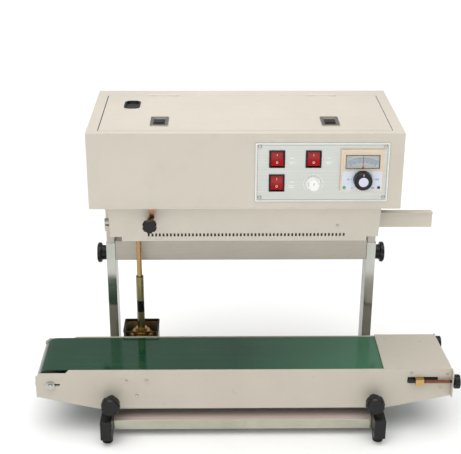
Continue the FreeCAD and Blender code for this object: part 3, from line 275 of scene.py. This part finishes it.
CASE = lin(198, 191, 178)
M = {
    "casing_paint": painted("m_casing_paint", CASE, 0.36, 0.16, 0.5),
    "conveyor_paint": painted("m_conveyor_paint", lin(190, 183, 169), 0.34, 0.14, 0.7),
    "polished_steel": polished("m_polished_steel", lin(182, 184, 176), 0.12),
    "brushed_steel": brushed("m_brushed_steel", lin(172, 166, 156), 0.32, "x"),
    "panel_aluminium": brushed("m_panel_aluminium", lin(196, 198, 193), 0.36, "x", 0.08, 0.3, 0.93),
    "aluminium_block": brushed("m_aluminium_block", lin(190, 190, 188), 0.35, "y"),
    "brass": turned_metal("m_brass", lin(196, 164, 108), 0.24),
    "zinc_steel": turned_metal("m_zinc_steel", lin(142, 136, 98), 0.30),
    "belt_pvc": belt_mat(),
    "band_ptfe": cloth_band(),
    "black_plastic": plastic("m_black_plastic", (0.004, 0.004, 0.0045), 0.30, 0.16, edge=0.35, speck=0.012, spec=0.32),
    "rubber": plastic("m_rubber", (0.007, 0.007, 0.007), 0.6, 0.4, scale=700, speck=0.015, spec=0.3),
    "switch_red": plastic("m_switch_red", lin(150, 4, 6), 0.20, 0.05, coat=0.08, var=0.16, speck=0.01, spec=0.30),
    "cream_plastic": plastic("m_cream_plastic", lin(214, 196, 172), 0.40, 0.2, var=0.04),
    "white_plastic": plastic("m_white_plastic", lin(232, 232, 228), 0.28, 0.08, var=0.03),
    "pointer_red": plastic("m_pointer_red", lin(214, 36, 24), 0.3, 0.05, var=0.06),
    "motor_paint": painted("m_motor_paint", lin(86, 92, 96), 0.42, 0.3),
}
M["frame_paint"] = painted("m_frame_grey", lin(168, 172, 160), 0.30, 0.10, 0.7)
M["copper"] = turned_metal("m_copper", lin(172, 122, 94), 0.30)
M["rod_bronze"] = turned_metal("m_rod_bronze", lin(172, 142, 96), 0.20)
M["pale_zinc"] = turned_metal("m_pale_zinc", lin(206, 190, 150), 0.34)
# painted reflection: a darker copy of the polished steel for the posts' inner faces
M["polished_painted_reflection"] = polished("m_polished_painted_reflection", lin(52, 50, 47), 0.16)
M["bar_steel"] = polished("m_bar_steel", lin(184, 183, 168), 0.20, "x")
# painted reflection: brown-grey paint on the crossbar tops stands for the conveyor mirrored in the polished steel
M["crossbar_painted_reflection"] = painted("m_crossbar_painted_reflection", lin(196, 178, 168), 0.42, 0.12, 0.3)
M["screw_steel"] = turned_metal("m_screw_steel", lin(186, 186, 182), 0.24)
# painted shade: dark steel used for the guide strip under the head and the window's dark ring
M["steel_painted_shade"] = turned_metal("m_steel_painted_shade", lin(84, 80, 76), 0.34)
M["white_print"] = plastic("m_white_print", lin(236, 236, 232), 0.45, 0.1, var=0.03)
M["dark_print"] = plastic("m_dark_print", lin(62, 66, 72), 0.5, 0.1)
M["blue_print"] = plastic("m_blue_print", lin(120, 146, 190), 0.45, 0.1)
M["face_blue"] = plastic("m_face_blue", lin(206, 214, 224), 0.34, 0.06, var=0.03)
M["lilac_cap"] = plastic("m_lilac_cap", lin(206, 204, 222), 0.26, 0.05, var=0.04)
M["latch_grey"] = turned_metal("m_latch_grey", lin(150, 150, 148), 0.36)
M["green_lamp"] = glow("m_green_lamp", lin(70, 190, 90), 0.5)
M["dark_lamp"] = plastic("m_dark_lamp", lin(70, 22, 20), 0.15, 0.03, coat=0.8)
M["glass"] = glass_mat()


# --------------------------------------------------------------- mesh helpers
def put(name, bm, mat, body, smooth=50, weighted=True):
    me = bpy.data.meshes.new(name)
    bmesh.ops.recalc_face_normals(bm, faces=bm.faces)
    bm.to_mesh(me)
    bm.free()
    me.materials.append(M[mat] if isinstance(mat, str) else mat)
    for p in me.polygons:
        p.use_smooth = True
    me.set_sharp_from_angle(angle=math.radians(smooth))
    ob = bpy.data.objects.new(name, me)
    scene.collection.objects.link(ob)
    if weighted:
        w = ob.modifiers.new("wn", "WEIGHTED_NORMAL")
        w.keep_sharp = True
    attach(ob, body)
    return ob


def soften(bm, width, segs=2, angle=30):
    es = [e for e in bm.edges if len(e.link_faces) == 2 and e.calc_face_angle(0.0) > math.radians(angle)]
    if es:
        bmesh.ops.bevel(bm, geom=es, offset=width, offset_type="OFFSET", segments=segs, profile=0.5, affect="EDGES", clamp_overlap=True)


def refine(node, width, mat=None, segs=2, angle=32, flat=True, pick=None, extra=()):
    """The CAD node with rounded edges: same faces, same box, only the sharp edges are broken."""
    src = N[node]
    bm = bmesh.new()
    bm.from_mesh(src.data)
    bmesh.ops.remove_doubles(bm, verts=bm.verts, dist=2e-6)
    if flat:
        bmesh.ops.dissolve_limit(bm, angle_limit=math.radians(0.3), verts=bm.verts, edges=bm.edges)
    clean = bmesh.new()
    vs = [clean.verts.new(v.co) for v in bm.verts]
    bm.verts.index_update()
    for f in bm.faces:
        try:
            clean.faces.new([vs[v.index] for v in f.verts])
        except ValueError:
            pass
    bm.free()
    bmesh.ops.recalc_face_normals(clean, faces=clean.faces)
    soften(clean, width, segs, angle)
    ob = put(node + "_finished", clean, mat or M[SLOT[node]], BODY[node])
    for m in extra:
        ob.data.materials.append(M[m])
    if pick:
        for p in ob.data.polygons:
            c = p.center * 1000
            p.material_index = pick(c.x + 8.0, c.y + 133.0, c.z, p.normal)
    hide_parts(node)
    return ob


def arc_pts(cx, cz, r, a0, a1, n):
    return [(cx + r * math.cos(math.radians(a0 + (a1 - a0) * i / n)), cz + r * math.sin(math.radians(a0 + (a1 - a0) * i / n))) for i in range(n + 1)]


def rrect(cx, cz, w, h, r, n=5):
    out = []
    for sx, sz, a in ((1, 1, 0), (-1, 1, 90), (-1, -1, 180), (1, -1, 270)):
        out += arc_pts(cx + sx * (w / 2 - r), cz + sz * (h / 2 - r), r, a, a + 90, n)
    return out


MAP = {"y": lambda a, b, c: P(a, c, b), "z": lambda a, b, c: P(a, b, c), "x": lambda a, b, c: P(c, a, b)}


def prism_bm(bm, outline, lo, hi, axis="y"):
    f = MAP[axis]
    a = [bm.verts.new(f(u, v, lo)) for u, v in outline]
    c = [bm.verts.new(f(u, v, hi)) for u, v in outline]
    n = len(a)
    bm.faces.new(a)
    bm.faces.new(list(reversed(c)))
    for i in range(n):
        j = (i + 1) % n
        bm.faces.new((a[i], c[i], c[j], a[j]))


def ring_bm(bm, outer, inner, lo, hi, axis="y"):
    f = MAP[axis]
    n = len(outer)
    L = [[bm.verts.new(f(u, v, k)) for u, v in o] for o, k in ((outer, lo), (outer, hi), (inner, hi), (inner, lo))]
    for q in range(4):
        A, B = L[q], L[(q + 1) % 4]
        for i in range(n):
            j = (i + 1) % n
            bm.faces.new((A[i], B[i], B[j], A[j]))


def lathe_bm(bm, prof, axis, cx, cy, n=40):
    """prof is (radius, distance along axis) in mm; cx, cy are the two coordinates across the axis."""
    f = MAP[axis]
    rings = []
    for r, h in prof:
        if r < 1e-6:
            rings.append([bm.verts.new(f(cx, cy, h))])
        else:
            rings.append([bm.verts.new(f(cx + r * math.cos(2 * math.pi * i / n), cy + r * math.sin(2 * math.pi * i / n), h)) for i in range(n)])
    for A, B in zip(rings, rings[1:]):
        for i in range(n):
            j = (i + 1) % n
            if len(A) == 1 and len(B) == 1:
                continue
            if len(A) == 1:
                bm.faces.new((A[0], B[i], B[j]))
            elif len(B) == 1:
                bm.faces.new((A[i], B[0], A[j]))
            else:
                bm.faces.new((A[i], B[i], B[j], A[j]))


def bar(name, items, lo, hi, mat, body, axis="y", bevel=0.0, segs=1, smooth=50):
    bm = bmesh.new()
    for o in items:
        if isinstance(o, tuple) and o[0] == "ring":
            ring_bm(bm, o[1], o[2], lo, hi, axis)
        else:
            prism_bm(bm, o, lo, hi, axis)
    if bevel:
        soften(bm, bevel / 1000, segs)
    return put(name, bm, mat, body, smooth)


def lathe(name, prof, axis, cx, cy, mat, body, n=40, smooth=40):
    bm = bmesh.new()
    lathe_bm(bm, prof, axis, cx, cy, n)
    return put(name, bm, mat, body, smooth)


def screw_head(name, x, z, y, r, h, mat, body):
    """Pan head with a real cross recess, facing -Y, seated at y."""
    bm = bmesh.new()
    n = 48
    rings = []
    for rr, hh in ((1.0, 0.0), (1.0, 0.45), (0.93, 0.75), (0.78, 0.93), (0.58, 1.0)):
        rings.append([bm.verts.new(P(x + r * rr * math.cos(2 * math.pi * i / n), y - h * hh, z + r * rr * math.sin(2 * math.pi * i / n))) for i in range(n)])
    inner, floor = [], []
    for i in range(n):
        a = 2 * math.pi * i / n
        k = abs(math.cos(2 * a)) ** 6
        q = r * (0.12 + 0.38 * k)
        inner.append(bm.verts.new(P(x + q * math.cos(a), y - h, z + q * math.sin(a))))
        floor.append(bm.verts.new(P(x + q * 0.6 * math.cos(a), y - h * 0.35, z + q * 0.6 * math.sin(a))))
    rings += [inner, floor]
    for A, B in zip(rings, rings[1:]):
        for i in range(n):
            j = (i + 1) % n
            bm.faces.new((A[i], B[i], B[j], A[j]))
    bm.faces.new(floor)
    bm.faces.new(list(reversed(rings[0])))
    return put(name, bm, mat, body, 35, False)


# ------------------------------------------------- CAD nodes with broken edges
W = {
    "head_shell": 1.1, "head_base_plate": 0.4, "front_guard": 0.35, "rear_guard": 0.35, "infeed_guide": 0.5, "control_panel": 0.35,
    "switch_bezels": 0.5, "controller_housing": 1.0, "post_left": 0.9, "post_right": 0.9, "cross_beam": 0.5, "base_frame": 1.2,
    "rail_end_caps": 0.9, "rubber_feet": 0.8, "carriage_legs": 0.6, "conveyor_front_plate": 0.45, "conveyor_rear_plate": 0.45,
    "conveyor_end_cover": 0.5, "conveyor_bed": 0.3, "conveyor_brackets": 0.5, "tension_blocks": 0.5, "gear_guard": 0.5, "clamp_knob_left": 0.6,
    "clamp_knob_right": 0.6, "post_knob_left": 0.7, "post_knob_right": 0.7, "pressure_knob": 0.5, "tension_knob_front": 0.3,
    "tension_knob_rear": 0.3, "power_switch": 0.5, "heater_switch": 0.5, "fan_switch": 0.5, "lid_latch_left": 0.35, "lid_latch_right": 0.35,
    "speed_knob": 0.3, "controller_knob": 0.4, "power_inlet": 0.6, "drive_motor": 0.8, "heating_blocks": 0.4, "cooling_blocks": 0.3,
}
# base: bright bars between black rails, the bars' top faces take a painted reflection; posts: inner faces take a
# painted dark reflection; guide: the strip under the head takes painted shade; hinges take the casing's paint
PICK = {
    "base_frame": ("bar_steel", ("black_plastic", "crossbar_painted_reflection"), lambda x, y, z, n: 1 if abs(x) > 248.4 else 2 if n.z > 0.8 else 0),
    "post_left": ("polished_steel", ("polished_painted_reflection",), lambda x, y, z, n: 1 if n.x > 0.8 else 0),
    "post_right": ("polished_steel", ("polished_painted_reflection",), lambda x, y, z, n: 1 if n.x < -0.8 else 0),
    # the guide's strip under the head takes painted shade
    "infeed_guide": ("casing_paint", ("steel_painted_shade",), lambda x, y, z, n: 1 if z > 439 and x < 240 else 0),
    "head_hardware": ("screw_steel", ("casing_paint",), lambda x, y, z, n: 1 if z > 610 else 0),
}
W["head_hardware"] = 0.2
for nm, wd in W.items():
    if nm in PICK:
        refine(nm, wd / 1000, M[PICK[nm][0]], extra=PICK[nm][1], pick=PICK[nm][2])
    else:
        refine(nm, wd / 1000)
for nm, o in N.items():
    if not o.hide_render:
        m = M.get(SLOT.get(nm)) or M["brushed_steel"]
        if nm == "conveyor_hardware":
            m = M["screw_steel"]
        if nm == "drive_rod":
            m = M["rod_bronze"]
        if not o.material_slots:
            o.data.materials.append(m)
        for s in o.material_slots:
            s.material = m

# ------------------------------------------------------------- control panel
PX0, PX1, PZ0, PZ1 = 17.0, 247.8, 492.0, 599.5
cx, cz = (PX0 + PX1) / 2, (PZ0 + PZ1) / 2
bar("panel_border", [("ring", rrect(cx, cz, 229.6, 106.3, 2.2), rrect(cx, cz, 227.4, 104.1, 1.6))], -1.75, -1.2, "white_print", "head", bevel=0.08)
bar("panel_line", [("ring", rrect(cx, cz, 223.4, 100.2, 2.0), rrect(cx, cz, 222.6, 99.4, 1.7))], -1.62, -1.3, "dark_print", "head")
for i, (x, z) in enumerate(((24.8, 593.5), (241.0, 593.0), (25.2, 499.5), (241.0, 499.5))):
    screw_head("panel_screw_%d" % i, x, z, -1.5, 3.5, 2.1, "screw_steel", "head")
marks = []
for rx, rz in ((54.3, 570.5), (117.0, 570.5), (54.3, 526.8)):
    marks.append(rrect(rx + 26.0, rz + 1.6, 6.0, 1.0, 0.45, 2))
    marks.append(rrect(rx + 26.0, rz - 5.4, 12.0, 1.0, 0.45, 2))
    marks.append(rrect(rx + 26.0, rz - 8.6, 8.0, 0.8, 0.38, 2))
for k in range(11):
    a = math.radians(225 - 27 * k)
    r0, r1 = 12.6, 15.2 if k % 5 == 0 else 14.2
    u, v = math.cos(a), math.sin(a)
    w = 0.28 if k % 5 else 0.42
    marks.append([(117.8 + r0 * u - w * v, 525.6 + r0 * v + w * u), (117.8 + r0 * u + w * v, 525.6 + r0 * v - w * u),
                  (117.8 + r1 * u + w * v, 525.6 + r1 * v - w * u), (117.8 + r1 * u - w * v, 525.6 + r1 * v + w * u)])
bar("panel_marks", marks, -1.62, -1.3, "white_print", "head")
arc = arc_pts(117.8, 525.6, 16.6, 225, -45, 40) + arc_pts(117.8, 525.6, 17.1, -45, 225, 40)
bar("speed_arc", [arc], -1.62, -1.3, "white_print", "head")

# rockers: the printed line and circle, laid on the two faces of each key
for nm, rx, rz in (("power_switch", 54.3, 570.5), ("heater_switch", 117.0, 570.5), ("fan_switch", 54.3, 526.8)):
    bm = bmesh.new()
    th = math.radians(-9)

    def face(u, t, lift, up):
        y0, z0, y1, z1 = (-6.4, 0, -8.4, 12.2) if up else (-6.4, 0, -8.4, -12.2)
        ln = math.hypot(y1 - y0, z1 - z0)
        dy, dz = (y1 - y0) / ln, (z1 - z0) / ln
        ny, nz = (-dz, dy) if up else (dz, -dy)
        y, z = y0 + dy * t + ny * lift, z0 + dz * t + nz * lift
        return P(rx + u, 4 + y * math.cos(th) - z * math.sin(th), rz + y * math.sin(th) + z * math.cos(th))

    def plate(o, up):
        a = [bm.verts.new(face(u, t, -0.05, up)) for u, t in o]
        b = [bm.verts.new(face(u, t, 0.10, up)) for u, t in o]
        bm.faces.new(a)
        bm.faces.new(list(reversed(b)))
        for i in range(len(a)):
            j = (i + 1) % len(a)
            bm.faces.new((a[i], b[i], b[j], a[j]))
    plate(rrect(0, 6.6, 0.7, 3.6, 0.3, 2), True)
    o, q = arc_pts(0, 6.6, 1.9, 0, 360, 28)[:-1], arc_pts(0, 6.6, 1.35, 0, 360, 28)[:-1]
    A = [[bm.verts.new(face(u, t, l, False)) for u, t in c] for c, l in ((o, -0.05), (o, 0.10), (q, 0.10), (q, -0.05))]
    for k in range(4):
        for i in range(28):
            j = (i + 1) % 28
            bm.faces.new((A[k][i], A[(k + 1) % 4][i], A[(k + 1) % 4][j], A[k][j]))
    put(nm + "_marks", bm, "white_print", nm, 40, False)

# -------------------------------------------------------------- controller
hx, kz = 202.4, 535.0
bar("controller_face", [rrect(201.4, 532.4, 69.4, 36.4, 1.5)], -6.9, -6.3, "face_blue", "head", bevel=0.12)
bar("window_frame", [("ring", rrect(201.4, 567.0, 66.4, 31.4, 2.0), rrect(201.4, 567.0, 59.6, 26.6, 1.0))], -7.4, -6.2, "cream_plastic", "head", bevel=0.3, segs=2)
# painted shadow: a dark ring behind the glass, widest at the top, where the frame shades the scale
bar("window_painted_shadow", [("ring", rrect(201.4, 567.0, 59.8, 26.8, 1.0), rrect(201.4, 566.2, 56.6, 23.0, 1.0))], -5.4, -4.9, "steel_painted_shade", "head")
bar("scale_plate", [rrect(201.4, 567.0, 59.6, 26.6, 0.9)], -3.6, -3.15, "white_print", "head", bevel=0.05)
band = arc_pts(hx, 519.0, 53.6, 61, 119, 30) + arc_pts(hx, 519.0, 45.0, 119, 61, 30)
bar("scale_band", [[(min(max(u, 172.6), 230.2), min(max(v, 554.6), 579.4)) for u, v in band]], -3.72, -3.5, "face_blue", "head")
line = arc_pts(hx, 519.0, 54.6, 61, 119, 30) + arc_pts(hx, 519.0, 53.9, 119, 61, 30)
bar("scale_arc", [[(min(max(u, 172.6), 230.2), min(max(v, 554.6), 579.4)) for u, v in line]], -3.74, -3.5, "blue_print", "head")


def tick(x0, z0, a, r0, r1, w):
    u, v = math.cos(a), math.sin(a)
    return [(x0 + r0 * u - w * v, z0 + r0 * v + w * u), (x0 + r0 * u + w * v, z0 + r0 * v - w * u),
            (x0 + r1 * u + w * v, z0 + r1 * v - w * u), (x0 + r1 * u - w * v, z0 + r1 * v + w * u)]


bar("scale_ticks", [tick(hx, 519.0, math.radians(117 - 54.0 * k / 18), 45.6 if k % 3 == 0 else 48.6, 51.6, 0.34 if k % 3 == 0 else 0.2) for k in range(19)],
    -3.76, -3.5, "blue_print", "head")
bar("controller_glass", [rrect(201.4, 567.0, 59.4, 26.4, 1.0)], -6.6, -5.6, "glass", "head", bevel=0.1)
ticks = []
for k in range(31):
    a = math.radians(225 - 9.0 * k)
    r1 = 20.0 if k % 5 == 0 else 18.8
    if 516.5 < kz + r1 * math.sin(a) < 550:
        ticks.append(tick(hx, kz, a, 17.6, r1, 0.14 if k % 5 else 0.26))
bar("knob_ticks", ticks, -7.02, -6.8, "dark_print", "head")


def dial_text(name, items, size, y, mat, body):
    bm = bmesh.new()
    for s, x, z in items:
        cu = bpy.data.curves.new("tmp", "FONT")
        cu.body, cu.size, cu.extrude = s, size, 0.00006
        cu.align_x, cu.align_y = "CENTER", "CENTER"
        ob = bpy.data.objects.new("tmp", cu)
        scene.collection.objects.link(ob)
        bpy.context.view_layer.update()
        me = bpy.data.meshes.new_from_object(ob.evaluated_get(bpy.context.evaluated_depsgraph_get()))
        me.transform(Matrix.Translation(P(x, y, z)) @ Matrix.Rotation(math.radians(90), 4, "X"))
        bm.from_mesh(me)
        bpy.data.objects.remove(ob)
        bpy.data.meshes.remove(me)
    return put(name, bm, mat, body, 40, False)


nums = []
for k, s in enumerate(("0", "50", "100", "150", "200", "250", "300")):
    a = math.radians(225 - 45.0 * k)
    x, z = hx + 25.0 * math.cos(a), kz + 22.4 * math.sin(a)
    if 516.0 < z < 549:
        nums.append((s, x, z))
dial_text("dial_numbers", nums, 0.0042, -6.95, "dark_print", "head")
for nm, x, m in (("lamp_green", 171.2, "green_lamp"), ("lamp_dark", 231.0, "dark_lamp")):
    lathe(nm, [(2.6, -6.3), (2.6, -7.4), (2.3, -7.7), (1.9, -7.6), (1.8, -7.3), (0, -7.3)], "y", x, 520.0, "black_plastic", "head", 28)
    lathe(nm + "_lens", [(1.75, -7.0), (1.7, -7.9), (1.4, -8.5), (0.8, -8.9), (0, -9.0)], "y", x, 520.0, m, "head", 24, 80)
lathe("controller_knob_cap", [(8.4, -20.95), (8.4, -21.35), (8.0, -21.6), (5.5, -21.85), (2.0, -22.0), (0, -22.05)], "y", hx, kz, "lilac_cap", "controller_knob", 48, 50)
bar("controller_knob_line", [rrect(hx, kz + 12.4, 1.0, 3.2, 0.4, 2)], -21.3, -20.9, "white_print", "controller_knob")
lathe("speed_knob_cap", [(6.6, -16.9), (6.6, -17.25), (6.2, -17.5), (3.0, -17.6), (0, -17.62)], "y", 117.8, 525.6, "white_plastic", "speed_knob", 40, 50)
bar("speed_knob_line", [rrect(117.8, 530.0, 0.8, 4.6, 0.3, 2)], -17.75, -17.4, "dark_print", "speed_knob")
lathe("speed_washer", [(12.2, -1.4), (12.2, -1.85), (11.9, -2.0), (8.0, -2.0), (8.0, -1.4), (12.2, -1.4)], "y", 117.8, 525.6, "white_plastic", "head", 48)

# ---------------------------------------------------------------- lid details
for nm, sx in (("left", -1), ("right", 1)):
    lx = 149.5 * sx
    bar("latch_bezel_" + nm, [("ring", rrect(lx, 65.5, 31.6, 50.6, 2.5), rrect(lx, 65.5, 21.2, 39.2, 1.0))], 616.9, 617.75, "latch_grey", "lid", axis="z", bevel=0.3, segs=2)
bar("lid_grommet", [("ring", rrect(-204, 168, 29.6, 48.0, 11.0, 8), rrect(-204, 168, 23.0, 41.0, 10.0, 8))], 615.95, 616.9, "black_plastic", "lid", axis="z", bevel=0.3, segs=2)
bar("lid_socket", [rrect(-204, 168, 25.6, 43.6, 4.0, 6)], 610.0, 614.2, "black_plastic", "lid", axis="z", bevel=0.4)
for nm, x in (("left", -253.1), ("right", 253.1)):
    bar("lid_seal_" + nm, [rrect(x, 121.5, 1.6 if x < 0 else 0.9, 208.0, 0.4, 3)], 614.6, 616.12, "black_plastic", "head", axis="z")

# ------------------------------------------------------------- front of guard
bm = bmesh.new()
strap = [(5.0, 478.0), (4.2, 470.0), (3.6, 463.0), (4.0, 457.5)]
for x in (-168.0, -159.5):
    pass
sv = []
for y, z in strap:
    sv.append([bm.verts.new(P(x, y + dy, z)) for x, dy in ((-168, 0), (-159.5, 0), (-159.5, 1.2), (-168, 1.2))])
for A, B in zip(sv, sv[1:]):
    for i in range(4):
        j = (i + 1) % 4
        bm.faces.new((A[i], B[i], B[j], A[j]))
bm.faces.new(sv[0])
bm.faces.new(list(reversed(sv[-1])))
soften(bm, 0.0002, 1)
put("pressure_strap", bm, "copper", "head")
lathe("pressure_nut", [(7.6, 12.0), (7.6, 8.0), (7.0, 7.3), (3.4, 7.3), (3.4, 12.0), (7.6, 12.0)], "y", -167.0, 450.7, "brass", "head", 6, 20)
for i, (x, z) in enumerate(((166.0, 438.5),)):
    yy = 8.8 + (24.5 - 8.8) * (477.3 - z) / (477.3 - 413.5)
    screw_head("guard_screw_%d" % i, x, z, yy + 0.3, 2.6, 1.9, "screw_steel", "head")

# ------------------------------------------------------------ conveyor front
for side, ys in (("front", 8.0), ("rear", 156.5)):
    bm = bmesh.new()
    prof = []
    x = 345.0
    while x < (393.0 if side == "front" else 386.0):
        prof += [(2.95, x), (3.4, x + 0.55), (2.95, x + 1.1)]
        x += 1.1
    lathe_bm(bm, prof, "x", ys, 118.5, 24)
    put("take_up_thread_" + side, bm, "copper", "tension_knob_" + side, 30, False)
lathe("axle_bolt_left", [(0, 6.9), (4.0, 7.0), (5.4, 7.6), (5.4, 10.3), (8.6, 10.3), (8.6, 11.6), (4.0, 11.6)], "y", -365.5, 110.0, "screw_steel", "conveyor", 32)
for i, (x, z) in enumerate(((320.0, 135.0), (388.0, 132.0), (377.0, 101.0))):
    screw_head("plate_screw_%d" % i, x, z, 14.15, 2.4, 1.5, "screw_steel", "conveyor")
# painted shadow: black strips behind the plate's slots stand for the shade inside them
for nm, x0, x1 in (("left", 311.5, 326.4), ("right", 343.6, 372.5)):
    bar("slot_painted_shadow_" + nm, [rrect((x0 + x1) / 2, 118.5, x1 - x0, 15.0, 1.0, 3)], 16.25, 16.9, "black_plastic", "conveyor")
bar("axle_slot_painted_shadow", [rrect(-352.0, 110.8, 13.0, 7.0, 0.8, 3)], 16.25, 16.9, "black_plastic", "conveyor")
bar("guide_lip", [rrect(278.0, 75.6, 139.0, 5.6, 0.8, 2)], 437.4, 438.9, "casing_paint", "head", axis="z", bevel=0.3, segs=2)
bm = bmesh.new()
prof = [(6.35, 183.4)]
for k in range(10):
    z = 183.6 + 2.46 * k
    prof += [(7.3, z + 0.3), (7.3, z + 1.5), (6.55, z + 1.9)]
prof += [(6.35, 208.2), (6.3, 208.2), (6.3, 183.4), (6.35, 183.4)]
lathe_bm(bm, prof, "z", -202.0, 176.0, 40)
put("shaft_coupling", bm, "black_plastic", "drive_shaft", 30, False)
bar("gear_tray_liner", [[(-234.2, 151.0), (-233.5, 151.0), (-233.5, 202.6), (-170.0, 202.6), (-170.0, 151.0), (-169.3, 151.0), (-169.3, 203.2), (-234.2, 203.2)]],
    82.0, 144.5, "pale_zinc", "conveyor", axis="z")
bar("gear_tray_rim", [("ring", rrect(-201.75, 177.9, 71.0, 56.6, 4.0, 4), rrect(-201.75, 177.9, 64.6, 50.4, 2.0, 4))], 147.6, 149.0, "black_plastic", "conveyor", axis="z", bevel=0.3, segs=2)

# ---------------------------------------------------------------- stage, light
floor_bm = bmesh.new()
bmesh.ops.create_grid(floor_bm, x_segments=8, y_segments=8, size=14.0)
fm = Tree("m_floor")
fc = fm.mix(fm.remap(fm.noise(1.2, 3), 0, 1), (0.90, 0.90, 0.89), (0.93, 0.93, 0.92))
fm.link(fc, fm.b.inputs["Base Color"])
fm.link(fm.remap(fm.noise(3, 3), 0.55, 0.7), fm.b.inputs["Roughness"])
fm.set(spec=0.25)
me = bpy.data.meshes.new("floor")
floor_bm.to_mesh(me)
floor_bm.free()
me.materials.append(fm.m)
floor = bpy.data.objects.new("floor", me)
scene.collection.objects.link(floor)

w = bpy.data.worlds.new("studio")
scene.world = w
w.use_nodes = True
wt = w.node_tree
bg = wt.nodes["Background"]
tc = wt.nodes.new("ShaderNodeTexCoord")
sp = wt.nodes.new("ShaderNodeSeparateXYZ")
cr = wt.nodes.new("ShaderNodeValToRGB")
wt.links.new(tc.outputs["Generated"], sp.inputs[0])
mr = wt.nodes.new("ShaderNodeMapRange")
mr.inputs["From Min"].default_value = -0.1
wt.links.new(sp.outputs["Z"], mr.inputs["Value"])
wt.links.new(mr.outputs["Result"], cr.inputs["Fac"])
e = cr.color_ramp.elements
e[0].position, e[0].color = 0.0, (0.42, 0.42, 0.42, 1)
e[1].position, e[1].color = 1.0, (1, 1, 1, 1)
m_ = e.new(0.35)
m_.color = (0.62, 0.62, 0.63, 1)
wt.links.new(cr.outputs["Color"], bg.inputs["Color"])
bg.inputs["Strength"].default_value = 0.75


def area(name, loc, target, size, power, size_y=None):
    l = bpy.data.lights.new(name, "AREA")
    l.energy, l.size = power, size
    if size_y:
        l.shape, l.size_y = "RECTANGLE", size_y
    o = bpy.data.objects.new(name, l)
    scene.collection.objects.link(o)
    o.location = loc
    o.rotation_euler = (Vector(target) - Vector(loc)).to_track_quat("-Z", "Y").to_euler()
    return o


def sun(name, direction, power, angle):
    l = bpy.data.lights.new(name, "SUN")
    l.energy, l.angle = power, math.radians(angle)
    o = bpy.data.objects.new(name, l)
    scene.collection.objects.link(o)
    o.rotation_euler = Vector(direction).to_track_quat("-Z", "Y").to_euler()
    return o


sun("broad", (0.12, 0.25, -1.0), 1.95, 60)
area("key", (-1.6, -2.2, 2.2), (0, 0, 0.4), 1.6, 10, 1.2)
area("fill", (2.2, -1.8, 1.4), (0, 0, 0.3), 1.4, 3.5, 1.4)
area("low", (0.1, -1.9, 0.35), (0, 0, 0.08), 1.2, 1.6, 0.5).visible_camera = False
area("overhead", (-0.03, 0.02, 1.10), (-0.03, 0.02, 0.6), 0.5, 0.75, 0.25).visible_camera = False

scene.view_settings.view_transform = "Standard"
scene.view_settings.look = "None"

# -------------------------------------------------------------------- camera
cam = bpy.data.cameras.new("cam")
co = bpy.data.objects.new("camera", cam)
scene.collection.objects.link(co)
pitch, yaw, roll = 0.4108, -0.0162, 0.0041
cy_, sy_, cp, sp_, cr_, sr_ = math.cos(yaw), math.sin(yaw), math.cos(pitch), math.sin(pitch), math.cos(roll), math.sin(roll)
Rz = Matrix(((cy_, -sy_, 0), (sy_, cy_, 0), (0, 0, 1)))
Rx = Matrix(((1, 0, 0), (0, cp, sp_), (0, -sp_, cp)))
F = Rz @ Rx
fwd, right, up = F @ Vector((0, 1, 0)), F @ Vector((1, 0, 0)), F @ Vector((0, 0, 1))
r2 = cr_ * right + sr_ * up
u2 = -sr_ * right + cr_ * up
mw = Matrix.Identity(4)
for i in range(3):
    mw[i][0], mw[i][1], mw[i][2] = r2[i], u2[i], -fwd[i]
mw[0][3], mw[1][3], mw[2][3] = -0.060888, -1.839408, 1.186504
co.matrix_world = mw
cam.sensor_fit, cam.sensor_width, cam.lens = "HORIZONTAL", 36.0, 82.41
cam.clip_start, cam.clip_end = 0.05, 60
scene.camera = co
